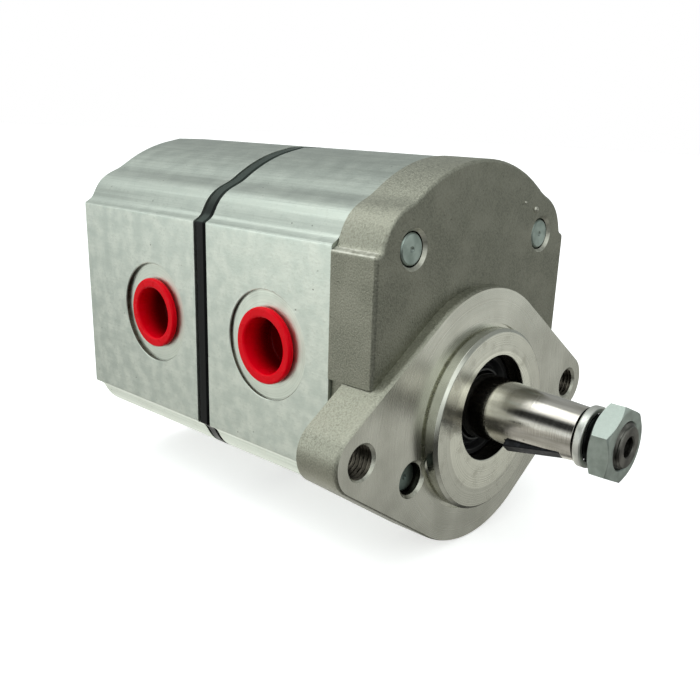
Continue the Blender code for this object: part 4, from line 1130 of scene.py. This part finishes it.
def rear_cover():
    """The end cover, flush with the rear body, with a counterbore for each bolt's head and washer."""
    start, end = BODIES["rear"][1] + HAIRLINE, REAR_COVER_END
    floor = span("bolt_washer_1")[0] - FIT_GAP
    profile = [
        (start - CUT_MARGIN, 0),
        (start - CUT_MARGIN, BOLT_HOLE_RADIUS),
        (floor, BOLT_HOLE_RADIUS),
        (floor, COUNTERBORE_RADIUS),
        *reversed(mouth(end, -1, COUNTERBORE_RADIUS, HOLE_CHAMFER)),
    ]
    tools = [shifted(turned(profile, HOLE_FACETS), x, z) for x, z in BOLT_PLACES]
    tools += dowel_tools(start - CUT_MARGIN, start + DOWEL_HOLE_DEPTH)
    return cut(slab(section_outline, start, end, rear=REAR_EDGE), tools)


def rear_cover_finish(centre, normal):
    """The drawn skin, a milled rear face and painted shade in the counterbores."""
    if centre.y > REAR_COVER_END - NEAR:
        return "milled_aluminium"
    bored = any(near_axis(centre, place, COUNTERBORE_RADIUS + HOLE_CHAMFER) for place in BOLT_PLACES)
    # Painted shade on the counterbores' walls and floors
    return "drilled_aluminium" if bored and normal.y > -WALL else "extruded_aluminium"


def add_housing():
    """Covers, bodies and the plate."""
    kinds = ("cast", "worn", "milled", "turned", "drilled")
    add_piece("front_cover", front_cover(), [f"{kind}_aluminium" for kind in kinds], choose=cover_finish)
    for section, rear_edge in (("front", BODY_EDGE), ("rear", 0.0)):
        finishes = ["extruded_aluminium", f"{section}_spot_face", "drilled_aluminium"]
        add_piece(f"{section}_body", pump_body(section, rear_edge), finishes, choose=body_finish(section))
    add_piece("intermediate_plate", intermediate_plate(), ["black_plate"])
    rear_finishes = ["extruded_aluminium", "milled_aluminium", "drilled_aluminium"]
    add_piece("rear_cover", rear_cover(), rear_finishes, choose=rear_cover_finish)


# Plugs, seal and fasteners


def cup_plug(bore_radius):
    """A push-in plastic cup with a rounded rim. Zero is the spot face and +Y points out."""
    shank = bore_radius - FIT_GAP
    rim = bore_radius + PLUG_RIM_OVERLAP
    inside = shank - PLUG_WALL
    top = FIT_GAP + PLUG_RIM_THICKNESS
    tip = FIT_GAP - PLUG_LENGTH
    profile = [
        (tip, 0),
        (tip, shank - PLUG_DRAFT),
        (FIT_GAP, shank),
        (FIT_GAP, rim),
        (top, rim),
        (top, inside),
        (tip + PLUG_WALL, inside - PLUG_DRAFT),
        (tip + PLUG_WALL, 0),
    ]
    return turned(softened(profile, PLUG_RIM_ROUND, PLUG_ROUND_STEPS))


def add_plugs():
    """A red cup plug in each port."""
    for section in BODIES:
        for port, (side, _, bore_radius) in PORTS.items():
            plug = shifted(cup_plug(bore_radius), 0, 0, -SPOT_DEPTH[section])
            add_piece(f"{section}_{port}_plug", to_side(plug, side, port_middle(section)), ["red_plastic"])


def shaft_seal():
    """A lip seal: outer wall, grooved front face, dust lip and main lip."""
    front, rear = span("shaft_seal")
    outer = SEAL_BORE_RADIUS - FIT_GAP
    lip = LAND_RADIUS + SEAL_LIP_GAP
    face = front + SEAL_FACE_DEPTH
    profile = [
        (face, outer),
        (rear, outer),
        (rear, outer - SEAL_WALL),
        (face + SEAL_FLOOR, outer - SEAL_WALL),
        (face + SEAL_FLOOR, lip + 2 * SEAL_LIP),
        (rear - SEAL_LIP, lip + SEAL_LIP),
        (rear - SEAL_LIP, lip),
        (face + SEAL_VALLEY_DEPTH, lip + SEAL_VALLEY_HEIGHT),
        (front, lip),
        (front, lip + DUST_LIP),
        *[(face + depth, lip + height) for depth, height in SEAL_FRONT],
        (face + SEAL_RING_DEPTH, outer - SEAL_RING_INSET),
        (face, outer - SEAL_RIM),
    ]
    return on_shaft(turned(softened_ring(profile, FINE_EDGE), ring=True))


def through_bolt(number):
    """A socket-head bolt along Y, its head at the rear and a dimple in its chamfered end."""
    tip, head_end = span(f"through_bolt_{number}")
    seat = head_end - BOLT_HEAD_HEIGHT
    profile = [
        (tip + BOLT_DIMPLE_DEPTH, 0),
        (tip, BOLT_DIMPLE_RADIUS),
        (tip, BOLT_RADIUS - BOLT_END_CHAMFER),
        (tip + BOLT_END_CHAMFER, BOLT_RADIUS),
        (seat, BOLT_RADIUS),
        (seat, BOLT_HEAD_RADIUS),
        (head_end - BOLT_HEAD_CHAMFER, BOLT_HEAD_RADIUS),
        (head_end, BOLT_HEAD_RADIUS - BOLT_HEAD_CHAMFER),
        (head_end, 0),
    ]
    socket = prism(hexagon(BOLT_SOCKET_FLATS), head_end - BOLT_SOCKET_DEPTH, head_end + CUT_MARGIN)
    return cut(turned(softened(profile, FINE_EDGE), HOLE_FACETS), [socket])


def bolt_washer():
    """A flat washer with softened edges."""
    low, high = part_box("bolt_washer_1")
    inner, outer = BOLT_HOLE_RADIUS, (high.z - low.z) / 2
    profile = [(low.y, outer), (high.y, outer), (high.y, inner), (low.y, inner)]
    return turned(softened_ring(profile, BOLT_WASHER_EDGE), ring=True)


def add_fasteners():
    """Through bolts and their washers."""
    for number, (x, z) in enumerate(BOLT_PLACES, start=1):
        bolt = shifted(through_bolt(number), x, z)
        # Painted shade: the lower bolts sit deeper in their holes and get the darker steel
        finish = "bolt_steel" if z > MID_Z else "painted_shade_bolt_steel"
        add_piece(f"through_bolt_{number}", bolt, [finish])
        add_piece(f"bolt_washer_{number}", shifted(bolt_washer(), x, z), ["zinc_steel"])


# Drive train


def taper_radius(y):
    """Radius of the shaft's taper at a place along it."""
    return LAND_RADIUS - (TAPER_START - y) / (2 * TAPER_RATIO)


def key_frame():
    """Where the key lies: X along the shaft to its thread, Z outward, the origin on the key's flat top."""
    outward = Vector((math.cos(KEY_ANGLE), 0, math.sin(KEY_ANGLE)))
    along = Vector((0, -1, 0))
    axes = Matrix((along, outward.cross(along), outward)).transposed().to_4x4()
    origin = Vector((0, KEY_Y, DRIVE_Z)) + outward * (taper_radius(KEY_Y) + KEY_PROUD)
    slope = math.atan(1 / (2 * TAPER_RATIO)) + KEY_TILT
    return Matrix.Translation(origin) @ axes @ Matrix.Rotation(slope, 4, "Y")


def woodruff_key():
    """A slice of a disc with a flat top and broken edges."""
    rise = KEY_RADIUS - KEY_HEIGHT

    def outline(inset=0.0):
        radius = KEY_RADIUS - inset
        dip = math.asin((rise + inset) / radius)
        return arc((0, rise), radius, math.pi + dip, 2 * math.pi - dip, KEY_STEPS)

    half = KEY_WIDTH / 2
    return moved(slab(outline, -half, half, front=KEY_EDGE, rear=KEY_EDGE), key_frame())


def keyseat_tool():
    """The disc that mills the keyseat."""
    half = KEY_WIDTH / 2 + KEYSEAT_PLAY
    disc = circle(KEY_RADIUS + KEYSEAT_PLAY, ROUND_FACETS, (0, KEY_RADIUS - KEY_HEIGHT))
    return moved(prism(disc, -half, half), key_frame())


def drive_shaft():
    """Shaft with the front drive gear, seal land, taper, thread, centre hole, keyseat and coupling slot."""
    minor = SHAFT_THREAD[0]
    profile = [
        (SHAFT_REAR, 0),
        (SHAFT_REAR, JOURNAL_RADIUS),
        (LAND_END + JOURNAL_RADIUS - LAND_RADIUS, JOURNAL_RADIUS),
        (LAND_END, LAND_RADIUS),
        (TAPER_START, LAND_RADIUS),
        (TAPER_END, taper_radius(TAPER_END)),
        (TAPER_END, minor),
        (SHAFT_FRONT, minor),
        (SHAFT_FRONT, 0),
    ]
    start, end = BODIES["front"]
    gear = prism(gear_outline(), start + GEAR_INSET, end - GEAR_INSET)
    thread = threaded_rod(SHAFT_FRONT, TAPER_END + CUT_MARGIN, SHAFT_THREAD, THREAD_CHAMFER)
    shaft = fused(turned(softened(profile, FINE_EDGE)), [gear, thread])
    reach, half = JOURNAL_RADIUS + CUT_MARGIN, TONGUE_SLOT_HALF_WIDTH
    slot = block((-reach, SHAFT_REAR - TONGUE_SLOT_DEPTH, -half), (reach, SHAFT_REAR + CUT_MARGIN, half))
    hole = mouth(SHAFT_FRONT, 1, CENTRE_HOLE_RADIUS, HOLE_CHAMFER) + [
        (SHAFT_FRONT + CENTRE_HOLE_DEPTH, CENTRE_HOLE_RADIUS),
        (SHAFT_FRONT + CENTRE_HOLE_TIP, 0),
    ]
    return cut(on_shaft(shaft), [keyseat_tool(), on_shaft(slot), on_shaft(turned(hole))])


def spring_washer():
    """A split ring with softened corners that climbs a little over its turn."""
    inner, outer = SPRING_WASHER_RADII
    rear = span("spring_washer")[1]
    front = rear - SPRING_WASHER_THICKNESS
    corners = [(inner, rear), (outer, rear), (outer, front), (inner, front)]
    section = softened_ring(corners, SPRING_WASHER_EDGE)
    sweep = 2 * math.pi - SPRING_WASHER_SLIT
    rings = []
    for step in range(ROUND_FACETS + 1):
        share = step / ROUND_FACETS
        turn = Matrix.Rotation(sweep * share, 3, "Y")
        climb = Vector((0, -SPRING_WASHER_RISE * share, 0))
        rings.append([turn @ Vector((radius, y, 0)) + climb for radius, y in section])
    return on_shaft(skin(rings))


def shaft_nut():
    """The thin nut, with its corners turned down at both ends and a countersunk bore."""
    start, end = NUT
    flat = NUT_FLATS / 2
    outside = NUT_FLATS / math.sqrt(3) + CUT_MARGIN
    drop = (outside - flat) * math.tan(HEX_CHAMFER_ANGLE)
    limit = [
        (start - CUT_MARGIN, 0),
        (start, flat),
        (start + drop, outside),
        (end - drop, outside),
        (end, flat),
        (end + CUT_MARGIN, 0),
    ]
    solid = combined(prism(hexagon(NUT_FLATS, NUT_ANGLE), start, end), [turned(limit)], "INTERSECT")
    front_half = mouth(start, 1, NUT_BORE, NUT_COUNTERSINK)
    rear_half = mouth(end, -1, NUT_BORE, NUT_COUNTERSINK)
    return on_shaft(cut(solid, [turned(front_half + rear_half[::-1])]))


def shaft_finish(centre, normal):
    """A ground taper, a darker thread and end, painted shade that makes the thread nearly black behind the
    nut, and plainer steel inside.
    """
    if centre.y < TAPER_END + NEAR:
        # Painted shade on the thread between the washer and the nut
        return "thread_steel" if centre.y < NUT[1] else "dark_thread"
    return "ground_steel" if centre.y < LAND_END else "gear_steel"


def add_drive_train():
    """What turns with the shaft and shows."""
    body = "drive_train"
    shaft_finishes = ["ground_steel", "thread_steel", "dark_thread", "gear_steel"]
    add_piece("drive_shaft", drive_shaft(), shaft_finishes, body, choose=shaft_finish)
    add_piece("woodruff_key", woodruff_key(), ["black_steel"], body)
    add_piece("spring_washer", spring_washer(), ["washer_steel"], body)
    add_piece("shaft_nut", shaft_nut(), ["zinc_steel"], body)


def dress_inner_nodes():
    """Gives each node that keeps its own mesh the finish of its material slot."""
    kinds = {
        "bush": "bush_bronze",
        "block": "bearing_alloy",
        "seal": "black_rubber",
        "dowel": "gear_steel",
        "gear": "gear_steel",
        "coupling": "gear_steel",
    }
    for name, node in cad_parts.items():
        if node.hide_render:
            continue
        words = name.split("_")
        kind = next(word for word in reversed(words) if word in kinds)
        for holder in node.material_slots:
            holder.material = FINISHES[kinds[kind]]


# Studio


def add_camera():
    """The camera at the photograph's angle."""
    data = bpy.data.cameras.new("camera")
    data.lens = CAMERA_LENS
    data.shift_x, data.shift_y = CAMERA_SHIFT
    data.clip_start = CAMERA_NEAR
    made = linked("camera", data)
    made.location = CAMERA_PLACE
    made.rotation_euler = Euler([math.radians(angle) for angle in CAMERA_TURN])
    bpy.context.scene.camera = made


def add_floor():
    """A large pale floor at the lowest point of the pump, left out of its lighting and reflections."""
    finish = Finish("pale_floor", metallic=0.0)
    cloud = finish.noise(FLOOR_CLOUD, detail=2.0)
    finish.shader.inputs["Emission Color"].default_value = tone(*WHITE)
    finish.shader.inputs["Emission Strength"].default_value = FLOOR_GLOW
    colour = finish.clouded(cloud, (250, 250, 250), (253, 253, 253))
    bm = bmesh.new()
    bmesh.ops.create_grid(bm, x_segments=FLOOR_CELLS, y_segments=FLOOR_CELLS, size=FLOOR_HALF)
    floor = linked_mesh("floor", bm)
    floor.data.materials.append(finish.done(colour, cloud, FLOOR_ROUGHNESS, FLOOR_ROUGHNESS))
    floor.location.z = cad_box[0].z
    floor.visible_glossy = False
    floor.visible_diffuse = False


def add_sky():
    """A white backdrop for the camera, and a room of soft lights, most of them to the left and the back."""
    world = bpy.data.worlds.new("studio")
    world.use_nodes = True
    bpy.context.scene.world = world
    world.node_tree.nodes.clear()
    nodes = Nodes(world.node_tree, "Generated")
    above = nodes.between(nodes.part(nodes.place, "Z"), *HORIZON)
    strength = nodes.between(above, 0.0, 1.0, GROUND_LIGHT, SKY_LIGHT)
    for axis, start, share in SOFT_BOXES:
        turn = nodes.vector_math("DOT_PRODUCT", nodes.place, Vector(axis).normalized(), "Value")
        strength = nodes.math("ADD", strength, nodes.between(turn, start, 1.0, 0.0, share))
    strength = nodes.math("MAXIMUM", strength, LEAST_LIGHT)
    room = {"Color": nodes.mixed(above, GROUND_TONE, SKY_TONE), "Strength": strength}
    lit = nodes.add("Background", room).outputs[0]
    backdrop = nodes.add("Background", {"Color": tone(*WHITE)}).outputs[0]
    seen = nodes.add("LightPath", {}).outputs["Is Camera Ray"]
    choice = nodes.add("MixShader", {0: seen, 1: lit, 2: backdrop}).outputs[0]
    nodes.add("OutputWorld", {"Surface": choice})


def add_key_light():
    """A large soft box to the left and above."""
    data = bpy.data.lights.new("key", "AREA")
    data.size = LAMP_SIZE
    data.energy = LAMP_POWER
    made = linked("key", data)
    made.location = LAMP_PLACE
    aim = Vector(LAMP_AIM) - Vector(LAMP_PLACE)
    made.rotation_euler = aim.to_track_quat("-Z", "Y").to_euler()


def main():
    """Dresses the pump and sets up the studio round it."""
    add_housing()
    add_plugs()
    add_piece("shaft_seal", shaft_seal(), ["black_rubber"])
    add_fasteners()
    add_drive_train()
    dress_inner_nodes()
    add_camera()
    add_floor()
    add_sky()
    add_key_light()
    bpy.context.scene.view_settings.view_transform = "Standard"


main()
